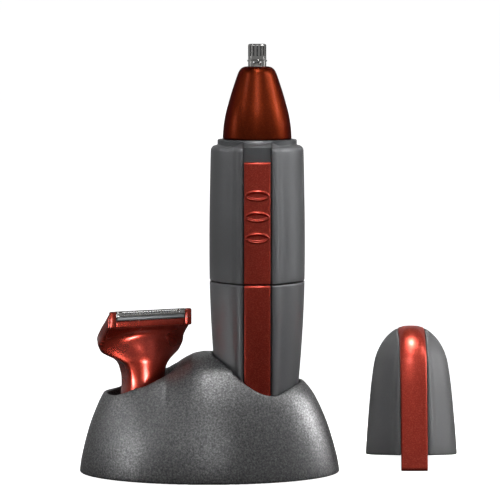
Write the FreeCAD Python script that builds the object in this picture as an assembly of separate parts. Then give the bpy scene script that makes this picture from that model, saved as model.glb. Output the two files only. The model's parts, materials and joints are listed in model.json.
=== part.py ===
import FreeCAD
import Part
import math
import os

# Battery nose hair trimmer with its storage stand, a spare micro shaver head and a protective cap.
# Millimetres. +Z up, -Y is the front, the table is z = 0, the origin is the centre of the stand's underside.

V = FreeCAD.Vector

# ---------------------------------------------------------------- driving dimensions
TX = 14.75           # trimmer axis, x
SX = -20.5           # spare shaver head axis, x
CX, CY = 63.8, 15.7  # centre of the cap's rim
CAP_LEAN = 8.76      # the cap stands on its front tongue and the back of its rim, so it leans back, degrees
TONGUE = 4.8         # how far the cap's front tongue reaches below its rim
SHAVER_YAW = 24.0    # how far the shaver head is turned in its pocket, degrees
SHAVER_Z = 10.2      # shaver head's base height in its pocket

BOTTOM = 8.0         # trimmer's bottom in its pocket
SEAM = 60.0          # parting line between the battery cover and the upper housing
SEAM_GAP = 0.15      # half the visible gap at the parting line
GRIP_T = 1.7         # thickness of the soft grip panels at the sides
SPINE_A = 1.6        # how far the front and rear spines stand proud of the sides
CHANNEL = 4.35       # half width of the channel between the grip panels
RIB = 4.2            # half width of the core's spine inside the channel
STRIP = 4.0          # half width of the coloured strips
STRIP_T = 1.3        # strip thickness
STRIP_TOP = 97.2     # upper end of the upper strips
RIB_OFF = -1.45      # the core's spine lies this far under the outer surface
NECK_TOP = 103.5     # face that the heads stand on
HEAD_BASE = 103.6
SWITCH_TRAVEL = 3.5

# half width of the housing against height
RS = [(6.0, 10.4), (12.0, 11.2), (18.0, 11.9), (25.0, 12.6), (33.7, 13.35), (43.0, 14.0),
      (52.0, 14.45), (60.0, 14.68), (70.0, 14.76), (80.0, 14.7), (91.0, 14.5), (98.0, 14.35), (104.0, 14.15)]

# half width of the cap against height above its rim
CAP_H = 40.9
RC = [(-4.8, 14.7), (0.0, 14.5), (7.0, 14.05), (14.2, 13.45), (21.8, 12.75), (27.5, 12.0), (31.0, 11.3), (34.0, 10.1),
      (36.7, 8.4), (38.7, 6.5), (40.1, 4.4), (40.8, 2.2)]

# stand: half width, height
DOME = [(40.4, 0.3), (39.9, 4.0), (39.0, 8.0), (37.9, 12.0), (36.6, 16.0), (35.0, 20.0), (33.1, 24.0), (31.1, 27.0),
        (28.2, 30.0), (24.6, 32.7), (19.8, 34.9), (14.0, 36.5), (8.0, 37.35), (3.0, 37.65)]
DOME_DEPTH = 0.59    # the stand's depth over its width
DOME_SHEAR = -0.015  # the ridge leans a little to the left
POCKET_CLEAR = 0.45  # play around the trimmer in its pocket
STAND_WALL = 2.0
POCKET_R = 11.2      # shaver head pocket radius
POCKET_Z = 10.0      # shaver head pocket floor

BATTERY_R = 7.1
BATTERY_Z0, BATTERY_Z1 = 13.8, 63.3
MOTOR_Z0, MOTOR_Z1 = 69.6, 91.0

os.makedirs("parts", exist_ok=True)
for old in os.listdir("parts"):
    if old.endswith(".step"):
        os.remove(os.path.join("parts", old))
MADE = {}


# ---------------------------------------------------------------- helpers
def interp(table, z):
    if z <= table[0][0]:
        return table[0][1]
    for (z0, r0), (z1, r1) in zip(table, table[1:]):
        if z <= z1:
            return r0 + (r1 - r0) * (z - z0) / (z1 - z0)
    return table[-1][1]


def cyl(r, z0, z1, x=0.0, y=0.0):
    return Part.makeCylinder(r, z1 - z0, V(x, y, z0))


def tube(ro, ri, z0, z1):
    return cyl(ro, z0, z1).cut(cyl(ri, z0 - 1, z1 + 1))


def box(x0, x1, y0, y1, z0, z1):
    return Part.makeBox(x1 - x0, y1 - y0, z1 - z0, V(x0, y0, z0))


def fuse(shapes):
    out = shapes[0]
    if len(shapes) > 1:
        out = out.multiFuse(shapes[1:])
    return out.removeSplitter()


def revolve(points, smooth=None):
    """Solid of revolution about Z from (r, z) points, bottom to top. smooth is a list of (r, z) that makes the outside a spline."""
    if smooth:
        curve = Part.BSplineCurve()
        curve.interpolate([V(r, 0, z) for r, z in smooth])
        edges = [curve.toShape()]
        z0, z1 = smooth[0][1], smooth[-1][1]
        edges.append(Part.LineSegment(V(smooth[-1][0], 0, z1), V(0, 0, z1)).toShape())
        edges.append(Part.LineSegment(V(0, 0, z1), V(0, 0, z0)).toShape())
        edges.append(Part.LineSegment(V(0, 0, z0), V(smooth[0][0], 0, z0)).toShape())
        wire = Part.Wire(edges)
    else:
        pts = [V(r, 0, z) for r, z in points]
        wire = Part.makePolygon(pts + [pts[0]])
    face = Part.Face(wire)
    return face.revolve(V(0, 0, 0), V(0, 0, 1), 360)


def prism_x(points, x0, x1):
    """Polygon in YZ swept along X."""
    pts = [V(x0, y, z) for y, z in points]
    return Part.Face(Part.makePolygon(pts + [pts[0]])).extrude(V(x1 - x0, 0, 0))


def prism_y(points, y0, y1):
    """Polygon in XZ swept along Y."""
    pts = [V(x, y0, z) for x, z in points]
    return Part.Face(Part.makePolygon(pts + [pts[0]])).extrude(V(0, y1 - y0, 0))


THETA = [0, 5, 10, 14, 17, 20, 23, 26, 29, 32, 35, 39, 45, 53, 64, 77]


def angles():
    """Angles from the front (-Y), dense at the shoulders of the spines."""
    quarter = THETA
    out = [a for a in quarter] + [90] + [180 - a for a in reversed(quarter)]
    out += [180 + a for a in quarter[1:]] + [270] + [360 - a for a in reversed(quarter[1:])]
    return out


def spine_bulge(t, mid=26.0, soft=2.6):
    """1 over the front and rear spines, 0 at the sides. mid is the half angle of a spine, soft its shoulder."""
    phi = min(t % 360, 360 - t % 360)
    return 1 / (1 + math.exp((phi - mid) / soft)) + 1 / (1 + math.exp((180 - phi - mid) / soft))


def section(z, rs, a, off=0.0, mid=26.0, soft=2.6):
    """Closed spline section: round sides, with a raised spine at the front and rear."""
    pts = []
    for t in angles():
        r = rs + a * spine_bulge(t, mid, soft) + off
        ang = math.radians(t - 90)
        pts.append(V(r * math.cos(ang), r * math.sin(ang), z))
    c = Part.BSplineCurve()
    c.interpolate(pts, PeriodicFlag=True)
    return Part.Wire([c.toShape()])


def even(table, count):
    """Points of a smooth curve through a table of heights and radii, the same distance apart along it."""
    c = Part.BSplineCurve()
    c.interpolate([V(r, 0, z) for z, r in table])
    return [(p.z, p.x) for p in c.discretize(Number=count)]


SIDE = even(RS, 400)


def body_loft(z0, z1, off=0.0, a=SPINE_A, mid=26.0, soft=2.6):
    count = max(3, int(round((z1 - z0) / 4.5)) + 1)
    zs = [z0 + (z1 - z0) * k / (count - 1) for k in range(count)]
    return Part.makeLoft([section(z, interp(SIDE, z), a, off, mid, soft) for z in zs], True, False)


def round_bottom(z0, off=0.0):
    """What a rounded underside leaves of the housing, everything above kept."""
    return revolve([(0, z0), (8.6 + off, z0), (10.2 + off, z0 + 0.35), (11.4 + off, z0 + 0.95), (12.4 + off, z0 + 1.8),
                    (13.1 + off, z0 + 2.9), (13.6 + off, z0 + 4.3), (13.9 + off, z0 + 6.0), (22, z0 + 14), (22, 130), (0, 130)])


def edge_points(e):
    return [e.valueAt(e.FirstParameter + (e.LastParameter - e.FirstParameter) * k / 10) for k in range(11)]


def off_section(p, x0=0.0, a=SPINE_A, off=0.0, mid=26.0, soft=2.6):
    """Distance of a point from the housing's outer surface, moved out by off."""
    t = math.degrees(math.atan2(p.x - x0, -p.y))
    return abs(math.hypot(p.x - x0, p.y) - interp(SIDE, p.z) - off - a * spine_bulge(t % 360, mid, soft))


def ellipse_wire(z, a, b, cx=0.0, n=2.0):
    pts = []
    for k in range(48):
        t = 2 * math.pi * k / 48
        ct, st = math.cos(t), math.sin(t)
        pts.append(V(cx + a * math.copysign(abs(ct) ** (2 / n), ct), b * math.copysign(abs(st) ** (2 / n), st), z))
    c = Part.BSplineCurve()
    c.interpolate(pts, PeriodicFlag=True)
    return Part.Wire([c.toShape()])


def squircle(z, a, b, cy, n=2.4, cx=0.0, m=56):
    pts = []
    for k in range(m):
        t = 2 * math.pi * k / m
        ct, st = math.cos(t), math.sin(t)
        r = (abs(ct / a) ** n + abs(st / b) ** n) ** (-1.0 / n)
        pts.append(V(cx + r * ct, cy + r * st, z))
    c = Part.BSplineCurve()
    c.interpolate(pts, PeriodicFlag=True)
    return Part.Wire([c.toShape()])


def ellipsoid(rx, ry, rz, x, y, z):
    s = Part.makeSphere(1.0)
    m = FreeCAD.Matrix()
    m.scale(rx, ry, rz)
    s = s.transformGeometry(m)
    s.translate(V(x, y, z))
    return s


def coil(r, wire, z0, z1, turns, taper=0.0):
    """Compression spring: a helix with flat-lying ends left plain."""
    pitch = (z1 - z0 - 2 * wire) / turns
    h = Part.makeHelix(pitch, z1 - z0 - 2 * wire, r, taper)
    h.translate(V(0, 0, z0 + wire))
    start = h.Edges[0].valueAt(h.Edges[0].FirstParameter)
    tangent = h.Edges[0].tangentAt(h.Edges[0].FirstParameter)
    prof = Part.Wire([Part.makeCircle(wire, start, tangent)])
    s = Part.Wire(h.Edges).makePipeShell([prof], True, True)
    return s


def try_fillet(shape, radius, pick, name=""):
    """Rounds the picked edges, and keeps the sharp shape if the kernel can't."""
    edges = [e for e in shape.Edges if pick(e)]
    for scale in (1.0, 0.7, 0.4):
        try:
            out = shape.makeFillet(radius * scale, edges)
            if out.isValid() and out.Volume > 0 and abs(out.Volume - shape.Volume) < 0.2 * shape.Volume:
                return out
        except Exception:
            pass
    print("no fillet on", name, len(edges))
    return shape


def save(name, shape, at=(0.0, 0.0, 0.0), yaw=0.0):
    s = shape.copy()
    if yaw:
        s.rotate(V(0, 0, 0), V(0, 0, 1), yaw)
    s.translate(V(*at))
    solids = s.Solids
    if not solids:
        raise SystemExit("no solid in " + name)
    vols = [round(x.Volume, 3) for x in solids]
    out = solids[0] if len(solids) == 1 else Part.makeCompound(solids)
    bad = [x for x in solids if not x.isValid()]
    print(name, len(solids), vols[:6], "INVALID" if bad else "")
    out.exportStep("parts/" + name + ".step")
    MADE[name] = out


T = (TX, 0.0, 0.0)
S = (SX, 0.0, SHAVER_Z)

# ================================================================ trimmer housing
lower_outer = body_loft(BOTTOM, SEAM - SEAM_GAP).common(round_bottom(BOTTOM))
upper_outer = body_loft(SEAM + SEAM_GAP, 104.0)
upper_under_strip = body_loft(SEAM + SEAM_GAP, 104.0, -STRIP_T)
upper_rib = body_loft(SEAM + SEAM_GAP, 104.0, RIB_OFF)

def core_revolve(z0, z1):
    count = int((z1 - z0) / 6) + 2
    zs = [z0 + (z1 - z0) * k / (count - 1) for k in range(count)]
    return revolve(None, smooth=[(interp(SIDE, z) - GRIP_T, z) for z in zs])


lower_core = core_revolve(BOTTOM + 1.45, SEAM - SEAM_GAP).common(round_bottom(BOTTOM + 1.45, -1.3))
upper_core_outer = core_revolve(SEAM + SEAM_GAP, 104.0)

# the lower strip follows the housing's outside, front, underside and rear
lower_rib = body_loft(BOTTOM + 1.45, SEAM - SEAM_GAP, RIB_OFF).common(round_bottom(BOTTOM + 1.45, -1.0))
lower_strip_in = body_loft(BOTTOM + 1.3, SEAM + 2, -STRIP_T).common(round_bottom(BOTTOM + 1.3, -0.9))
slab_channel = box(-CHANNEL, CHANNEL, -25, 25, 0, 120)
slab_rib = box(-RIB, RIB, -25, 25, 0, 120)
slab_strip = box(-STRIP, STRIP, -25, 25, 0, 120)

# ---- battery cover
cover = fuse([lower_core, lower_rib.common(slab_rib)])
cavity = revolve([(0, 10.8), (7.9, 10.8), (8.4, 12.0), (8.9, 18.0), (9.5, 25.0), (10.2, 33.7), (10.2, 52.6), (11.75, 53.2),
                  (11.75, 62.0), (0, 62.0)])
cover = cover.cut(cavity)
ribs = []
for a in (45, 135, 225, 315):
    rib = box(7.35, 10.6, -0.5, 0.5, 10.5, 50.0)
    rib.rotate(V(0, 0, 0), V(0, 0, 1), a)
    ribs.append(rib.common(lower_core))
cover = fuse([cover] + ribs)
save("battery_cover", cover, T)

# ---- lower grip panels: outer skin of the cover, either side of the strip
lower_grips = lower_outer.cut(lower_core).cut(slab_channel)
left = lower_grips.common(box(-30, 0, -25, 25, 0, 120))
right = lower_grips.common(box(0, 30, -25, 25, 0, 120))
save("lower_grip_left", left, T)
save("lower_grip_right", right, T)

# ---- lower strip: one U-shaped trim that wraps under the cover
lower_strip = lower_outer.common(slab_strip).cut(lower_strip_in)
save("lower_trim_strip", lower_strip, T)

# ---- electrical parts in the cover
plate = cyl(6.2, 10.8, 11.1)
plate = fuse([plate, cyl(1.2, 11.0, 11.5)])
save("negative_contact", plate, T)
spring = coil(4.3, 0.32, 11.12, 13.8, 2.5)
save("battery_spring", spring, T)
conductor = prism_x([(6.4, 11.15), (7.65, 11.15), (8.15, 13.0), (8.65, 18.0), (9.25, 25.0), (9.95, 34.0), (9.95, 57.5),
                     (9.7, 57.5), (9.7, 34.1), (9.0, 25.1), (8.4, 18.1), (7.9, 13.1), (7.5, 11.42), (6.4, 11.42)], -1.6, 1.6)
conductor.rotate(V(0, 0, 0), V(0, 0, 1), -90)
save("side_conductor", conductor, T)

# ---- battery
cell = revolve([(0, BATTERY_Z0), (5.4, BATTERY_Z0), (6.7, BATTERY_Z0 + 0.15), (BATTERY_R, BATTERY_Z0 + 0.6),
                (BATTERY_R, BATTERY_Z1 - 1.0), (6.6, BATTERY_Z1 - 0.35), (5.0, BATTERY_Z1 - 0.3), (4.6, BATTERY_Z1 - 0.3),
                (4.2, BATTERY_Z1 - 0.6), (0, BATTERY_Z1 - 0.6)])
save("battery_cell", cell, T)
nub = revolve([(0, BATTERY_Z1 - 0.6), (4.2, BATTERY_Z1 - 0.6), (4.0, BATTERY_Z1 - 0.25), (2.7, BATTERY_Z1 - 0.2),
               (2.55, BATTERY_Z1 + 0.8), (2.3, BATTERY_Z1 + 1.0), (0, BATTERY_Z1 + 1.0)])
save("battery_terminal", nub, T)

# ================================================================ upper housing
shoulder_pts = [(0, 110), (0, 102.95), (12.35, 102.95), (13.2, 102.72), (14.2, 102.3), (15.2, 101.7), (16.0, 101.15),
                (17.0, 100.3), (30, 100.3), (30, 110)]
shoulder = revolve(shoulder_pts)
upper_grips = upper_outer.cut(upper_core_outer).cut(slab_channel).cut(shoulder)
gl = upper_grips.common(box(-30, 0, -25, 25, 0, 120))
gr = upper_grips.common(box(0, 30, -25, 25, 0, 120))


save("upper_grip_left", gl, T)
save("upper_grip_right", gr, T)

# ---- core tube with neck, spigots, channel ribs, and the slot that the switch's foot travels in
rib_shoulder = revolve([(0, 110), (0, 103.4), (12.2, 103.4), (12.75, 102.7), (14.0, 101.9), (15.0, 100.9), (16.5, 99.2), (30, 99.2),
                        (30, 110)])
switch_slot = box(-1.65, 1.65, -16, -9.5, 73.4, 84.2)
core = upper_core_outer.cut(cyl(20, 101.0, 110)).cut(switch_slot)
core = fuse([core, upper_rib.common(slab_rib).cut(rib_shoulder).cut(switch_slot).cut(cyl(11.6, 50, 110)),
             revolve([(0, 99.0), (12.0, 99.0), (12.2, 100.0), (12.2, NECK_TOP - 0.25), (11.95, NECK_TOP), (0, NECK_TOP)])])
core = core.cut(cyl(11.2, 61.9, 99.2))
core = core.cut(cyl(10.35, 50.0, 62.5))
core = fuse([core, tube(11.45, 10.35, 54.2, SEAM + SEAM_GAP + 1.0)])
groove = tube(11.6, 10.95, 56.4, 57.6)
core = core.cut(groove)
core = fuse([core, tube(8.55, 7.5, 103.0, 106.8)])
core = core.cut(cyl(7.5, 101.2, 108.0)).cut(cyl(5.05, 98.0, 108.0))
save("upper_core", core, T)
seal = Part.makeTorus(11.42, 0.42, V(0, 0, 57.0))
seal = fuse([tube(11.62, 11.0, 56.6, 57.4)])
save("housing_seal", seal, T)

# ---- rear strip, fixed
rear = upper_outer.cut(upper_under_strip).common(box(-STRIP, STRIP, 5, 25, SEAM + SEAM_GAP, 104.0)).cut(shoulder)
rear = try_fillet(rear, 0.25, lambda e: e.Length > 30 and abs(e.CenterOfMass.y) > 15.2, "rear strip")
save("rear_trim_strip", rear, T)

# ---- front strip: the sliding switch with three finger grips
slider = upper_outer.cut(upper_under_strip).common(box(-STRIP, STRIP, -25, -5, SEAM + SEAM_GAP + 0.1, STRIP_TOP))
slider = try_fillet(slider, 0.25, lambda e: e.Length > 30 and abs(e.CenterOfMass.y) > 15.2, "slider")
foot = box(-1.4, 1.4, -15.5, -10.6, 74.0, 80.0)
slider = slider.fuse(foot)
for gz in (87.1, 80.7, 74.3):
    yf = -(interp(SIDE, gz) + SPINE_A)
    pad = ellipsoid(3.6, 0.62, 1.45, 0, yf + 0.12, gz)
    slider = slider.fuse(pad)
for gz in (87.1, 80.7, 74.3):
    yf = -(interp(SIDE, gz) + SPINE_A)
    rim = Part.ArcOfEllipse(Part.Ellipse(V(0, 0, 0), 3.05, 0.965), math.pi, 2 * math.pi).toShape()
    scoop = Part.Face(Part.Wire([rim, Part.makeLine(V(3.05, 0, 0), V(-3.05, 0, 0))])).revolve(V(0, 0, 0), V(1, 0, 0), 360)
    scoop = Part.Solid(scoop) if scoop.ShapeType != "Solid" else scoop
    scoop.translate(V(0, yf - 0.30, gz))
    if scoop.Volume < 0:
        scoop.reverse()
    slider = slider.cut(scoop)
save("switch_slider", slider, T)
carrier = box(-3.6, 3.6, -10.6, -9.75, 71.6, 82.4)
carrier = carrier.common(cyl(10.95, 60, 100))
save("switch_carrier", carrier, T)
leaf = prism_x([(-9.75, 72.2), (-9.75, 81.6), (-9.5, 81.6), (-9.5, 79.2), (-9.05, 78.2), (-8.85, 77.4), (-9.05, 76.6),
                (-9.5, 75.6), (-9.5, 72.2)], -2.2, 2.2)
save("switch_contact_leaf", leaf, T)

# ---- motor and its carrier
can_shape = cyl(10.05, MOTOR_Z0, MOTOR_Z1).common(box(-12, 12, -7.55, 7.55, 0, 120))
can_hollow = cyl(9.35, MOTOR_Z0 - 1, MOTOR_Z1 - 0.8).common(box(-12, 12, -6.85, 6.85, 0, 120))
can = can_shape.cut(can_hollow)
can = fuse([can, cyl(3.0, MOTOR_Z1 - 0.1, MOTOR_Z1 + 1.2)]).cut(cyl(2.0, MOTOR_Z1 - 2, MOTOR_Z1 + 3))
for sx in (-6.6, 6.6):
    can = can.cut(cyl(0.85, MOTOR_Z1 - 2, MOTOR_Z1 + 3, sx, 0))
save("motor_can", can, T)
bush = tube(1.98, 1.03, MOTOR_Z1 - 0.8, MOTOR_Z1 + 1.2)
save("motor_front_bush", bush, T)
end_cap = cyl(10.05, 67.4, MOTOR_Z0).common(box(-12, 12, -7.55, 7.55, 0, 120))
end_cap = end_cap.cut(cyl(8.2, 68.2, MOTOR_Z0 + 1).common(box(-12, 12, -6.2, 6.2, 0, 120)))
end_cap = fuse([end_cap, cyl(2.6, 66.9, 68.8)]).cut(cyl(1.05, 66.0, 71.0))
for sy in (-5.0, 5.0):
    end_cap = end_cap.cut(box(-1.4, 1.4, sy - 0.45, sy + 0.45, 66, 69))
save("motor_end_cap", end_cap, T)
magnets = []
for s in (0, 180):
    m = cyl(9.3, 72.0, 88.6).cut(cyl(7.1, 71, 90)).common(box(4.4, 12, -6.7, 6.7, 0, 120))
    m.rotate(V(0, 0, 0), V(0, 0, 1), s)
    magnets.append(m)
save("motor_magnets", Part.makeCompound(magnets), T)
terminals = []
for sy in (-5.0, 5.0):
    t = box(-1.2, 1.2, sy - 0.2, sy + 0.2, 65.6, 69.2)
    t = t.cut(Part.makeCylinder(0.45, 2, V(0, sy - 1, 66.5), V(0, 1, 0)))
    b = box(-0.9, 0.9, sy - 0.2, sy + 0.2, 69.2, 70.4)
    terminals.append(fuse([t, b]))
save("motor_terminals", Part.makeCompound(terminals), T)
stack = []
for k in range(3):
    tooth = cyl(6.5, 74.5, 87.0).common(box(2.0, 8, -4.3, 4.3, 0, 120))
    tooth = tooth.cut(cyl(5.6, 70, 90).cut(box(-10, 10, -1.3, 1.3, 60, 100)))
    tooth.rotate(V(0, 0, 0), V(0, 0, 1), 120 * k)
    stack.append(tooth)
windings = []
for k in range(3):
    w = box(3.0, 4.95, -2.3, 2.3, 73.2, 88.2).cut(box(0, 8, -1.35, 1.35, 74.4, 87.1))
    w.rotate(V(0, 0, 0), V(0, 0, 1), 120 * k)
    windings.append(w)
stack = fuse([cyl(2.9, 74.5, 87.0).cut(cyl(1.0, 70, 90))] + stack)
save("motor_armature", stack, T)
save("motor_windings", Part.makeCompound(windings), T)
commutator = tube(2.3, 1.0, 70.6, 73.0)
for k in range(3):
    slot = box(1.6, 3.0, -0.15, 0.15, 70, 74)
    slot.rotate(V(0, 0, 0), V(0, 0, 1), 60 + 120 * k)
    commutator = commutator.cut(slot)
save("commutator", commutator, T)
shaft = cyl(1.0, 67.3, 100.0)
save("motor_shaft", shaft, T)

# motor carrier: lower disc with the battery contact, two side rails, upper flange
carrier = tube(11.05, 3.2, 64.95, 65.5)
rails = tube(11.05, 10.2, 65.0, 92.5).common(fuse([box(6.0, 12, -7, 7, 0, 120), box(-12, -6.0, -7, 7, 0, 120)]))
flange = cyl(11.05, MOTOR_Z1 + 0.02, 92.5).cut(cyl(3.1, 90, 94)).cut(box(-5, 5, -12, -7.8, 90, 94))
carrier = fuse([carrier, rails, flange])
for sx in (-6.6, 6.6):
    carrier = carrier.cut(cyl(1.0, 90, 94, sx, 0))
carrier = carrier.cut(box(-4.2, 4.2, -12, -8.9, 64, 66)).cut(box(-1.5, 1.5, -5.6, -4.4, 64, 66)).cut(box(-1.5, 1.5, 4.4, 5.6, 64, 66))
save("motor_carrier", carrier, T)
screws = []
for sx in (-6.6, 6.6):
    s = revolve([(0, 90.3), (0.8, 90.3), (0.8, 92.52), (1.7, 92.52), (1.7, 93.1), (1.3, 93.5), (0, 93.5)])
    s = s.cut(box(-0.2, 0.2, -1.2, 1.2, 93.1, 94)).cut(box(-1.2, 1.2, -0.2, 0.2, 93.1, 94))
    s.translate(V(sx, 0, 0))
    screws.append(s)
save("motor_screws", Part.makeCompound(screws), T)
positive = cyl(4.6, 64.4, 64.75)
positive = fuse([positive, cyl(2.9, 64.7, 65.3)])
save("positive_contact", positive, T)
fixed = fuse([box(-2.0, 2.0, -8.45, -8.2, 70.0, 90.0), box(-2.0, 2.0, -8.45, -7.7, 89.75, 90.0)])
save("switch_fixed_contact", fixed, T)
neg_tab = box(10.1, 10.28, -0.9, 0.9, 54.8, 64.0)
neg_tab = fuse([neg_tab, box(10.1, 10.9, -0.9, 0.9, 63.9, 64.2)])
save("negative_tab", neg_tab, T)

# ---- drive coupling and neck seal
coupling = revolve([(0, 94.6), (2.6, 94.6), (2.6, 96.2), (4.3, 96.2), (4.3, 97.0), (2.6, 97.0), (2.6, 102.0), (0, 102.0)])
coupling = fuse([coupling, box(-1.3, 1.3, -1.3, 1.3, 102.0, 107.0)])
coupling = coupling.cut(cyl(1.0, 94, 100.0))
save("drive_coupling", coupling, T)
neck_seal = revolve([(2.68, 99.25), (5.0, 99.25), (5.0, 101.15), (4.2, 101.15), (4.2, 100.1), (3.0, 100.1), (2.68, 99.7)])
save("neck_seal", neck_seal, T)

# ================================================================ nose trimmer head
cone_pts = [(10.6, HEAD_BASE), (10.55, 104.6), (10.45, 106.2), (10.25, 108.1), (9.95, 110.0), (9.55, 111.9), (9.08, 113.7),
            (8.55, 115.5), (8.0, 117.4), (7.4, 119.3), (6.8, 121.1), (6.15, 123.0), (5.65, 124.2), (5.05, 125.05),
            (4.2, 125.62), (3.3, 125.8)]
cone = revolve(None, smooth=cone_pts)
cone_in = revolve([(0, HEAD_BASE - 1), (8.75, HEAD_BASE - 1), (8.75, 107.2), (8.35, 107.25), (8.35, 108.3), (7.9, 108.4),
                   (7.9, 111.5), (7.1, 115.2), (5.4, 120.6), (4.55, 122.2), (4.55, 124.1), (0, 124.1)])
cone = cone.cut(cone_in)
web = revolve([(3.3, 115.6), (8.3, 115.6), (7.8, 117.0), (3.3, 117.0)])
guide = tube(3.35, 2.12, 115.6, 120.8)
cone = fuse([cone, web.common(revolve(None, smooth=cone_pts)), guide])
cone = cone.cut(cyl(3.12, 122.0, 127.0))
save("nose_head_cone", cone, T)

# fixed blade: slotted steel tube
stator = revolve([(0, 123.0), (4.45, 123.0), (4.45, 124.0), (3.05, 124.0), (3.05, 127.65), (2.8, 127.9), (2.8, 132.2),
                  (2.72, 132.45), (2.5, 132.62), (2.1, 132.7), (0, 132.7)])
stator = stator.cut(cyl(2.5, 122, 132.3))
for k in range(16):
    s = box(1.45, 3.4, -0.2, 0.2, 129.0, 134.0)
    s.rotate(V(0, 0, 0), V(0, 0, 1), 22.5 * k - 90)
    stator = stator.cut(s)
for k in range(4):
    w = box(2.0, 3.6, -1.25, 1.25, 124.9, 127.3)
    w.rotate(V(0, 0, 0), V(0, 0, 1), 90 * k - 90)
    stator = stator.cut(w)
save("fixed_blade", stator, T)

# turning blade: four steel wings on a shank
rotor = [cyl(0.9, 123.2, 131.9)]
for k in range(2):
    w = box(-2.38, 2.38, -0.22, 0.22, 128.2, 132.15)
    w.rotate(V(0, 0, 0), V(0, 0, 1), 90 * k + 11.25)
    rotor.append(w)
save("turning_blade", fuse(rotor), T)
spindle = revolve([(0, 102.3), (2.6, 102.3), (2.6, 108.9), (2.0, 109.4), (2.0, 113.0), (3.55, 113.0), (3.55, 113.9), (2.0, 113.9),
                   (2.0, 121.2), (1.6, 121.8), (1.6, 126.9), (0, 126.9)])
spindle = spindle.cut(box(-1.42, 1.42, -1.42, 1.42, 101, 107.5)).cut(cyl(0.9, 123.2, 128))
save("blade_spindle", spindle, T)
save("blade_spring", coil(3.15, 0.28, 108.35, 112.95, 3.0), T)
save("spindle_retainer", revolve([(2.75, 107.35), (8.3, 107.35), (8.3, 108.25), (4.2, 108.25), (4.2, 108.33), (2.75, 108.33)]), T)

# ================================================================ stand
def dome(off):
    """The stand's outside, or its hollow when off is the wall thickness: half an oval bowl turned over."""
    pts = [(r - off, z - off) for r, z in DOME]
    if off:
        pts[0], pts[1] = (pts[0][0], 0.1), (pts[1][0], 2.5)
    top = pts[-1][1] + 0.05
    curve = Part.BSplineCurve()
    curve.interpolate([V(r, 0, z) for r, z in pts] + [V(0, 0, top)])
    wire = Part.Wire([curve.toShape(), Part.LineSegment(V(0, 0, top), V(0, 0, pts[0][1])).toShape(),
                      Part.LineSegment(V(0, 0, pts[0][1]), V(pts[0][0], 0, pts[0][1])).toShape()])
    s = Part.Face(wire).revolve(V(0, 0, 0), V(0, 0, 1), 360)
    m = FreeCAD.Matrix()
    m.A22 = DOME_DEPTH
    m.A13 = DOME_SHEAR
    return s.transformGeometry(m)


outer_dome = dome(0.0)
inner_dome = dome(STAND_WALL)
cup_right = revolve([(0, BOTTOM - 1.85), (10.5, BOTTOM - 1.85), (13.4, 12.0), (15.2, 25.0), (16.0, 45.0), (0, 45.0)])
cup_right.translate(V(TX, 0, 0))
void_right = body_loft(BOTTOM - 0.25, 46.0, POCKET_CLEAR, 1.75, 31.0, 8.0)
void_right.translate(V(TX, 0, 0))
cup_left = cyl(POCKET_R + 1.5, POCKET_Z - 1.6, 45, SX, 0)
void_left = cyl(POCKET_R, POCKET_Z, 60)
void_left.rotate(V(0, 0, 0), V(0, 0, 1), 200)
void_left.translate(V(SX, 0, 0))
BOSSES = [(-3.6, 13.2), (-3.6, -13.2), (34.6, 0.0), (-35.2, 0.0)]
hollow_space = inner_dome.cut(cup_right).cut(cup_left)
for x, y in BOSSES:
    hollow_space = hollow_space.cut(cyl(2.5, 2.6, 34.0, x, y))


def left_rim(e):
    pts = edge_points(e)
    return min(p.z for p in pts) > 15 and max(abs(math.hypot(p.x - SX, p.y) - POCKET_R) for p in pts) < 0.05


def right_rim(e):
    pts = edge_points(e)
    return (e.Length > 0.5 and min(p.x for p in pts) > -1.5 and min(p.z for p in pts) > 20
            and max(off_section(p, TX, 1.75, POCKET_CLEAR, 31.0, 8.0) for p in pts) < 0.15)


shell = try_fillet(outer_dome.cut(void_left), 0.6, left_rim, "left rim")
shell = try_fillet(shell.cut(void_right), 0.5, right_rim, "right rim")
shell = shell.cut(hollow_space)
for x, y in BOSSES:
    shell = shell.cut(cyl(0.85, 0.0, 7.6, x, y))
save("stand_shell", shell)

base_plate = Part.Face(ellipse_wire(0.5, 37.6, 22.0)).extrude(V(0, 0, 2.0))
base_plate = base_plate.cut(Part.Face(ellipse_wire(0.3, 22.2, 9.2)).extrude(V(0, 0, 1.0)))
for x, y in BOSSES:
    base_plate = base_plate.cut(cyl(1.15, 0, 3, x, y)).cut(cyl(2.1, 0, 1.32, x, y))
save("base_plate", base_plate)
save("base_pad", Part.Face(ellipse_wire(0.0, 22.0, 9.0)).extrude(V(0, 0, 1.3)))
ballast = Part.Face(ellipse_wire(2.55, 34.6, 16.6)).extrude(V(0, 0, 3.0))
for x, y in BOSSES:
    ballast = ballast.cut(cyl(3.1, 2, 6, x, y))
save("ballast_plate", ballast)
screws = []
for x, y in BOSSES:
    s = revolve([(0, 0.62), (1.5, 0.62), (1.95, 0.9), (1.95, 1.3), (0.84, 1.3), (0.84, 6.6), (0.3, 7.3), (0, 7.3)])
    s = s.cut(box(-0.25, 0.25, -1.3, 1.3, 0.5, 1.0)).cut(box(-1.3, 1.3, -0.25, 0.25, 0.5, 1.0))
    s.translate(V(x, y, 0))
    screws.append(s)
save("base_screws", Part.makeCompound(screws))

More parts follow.
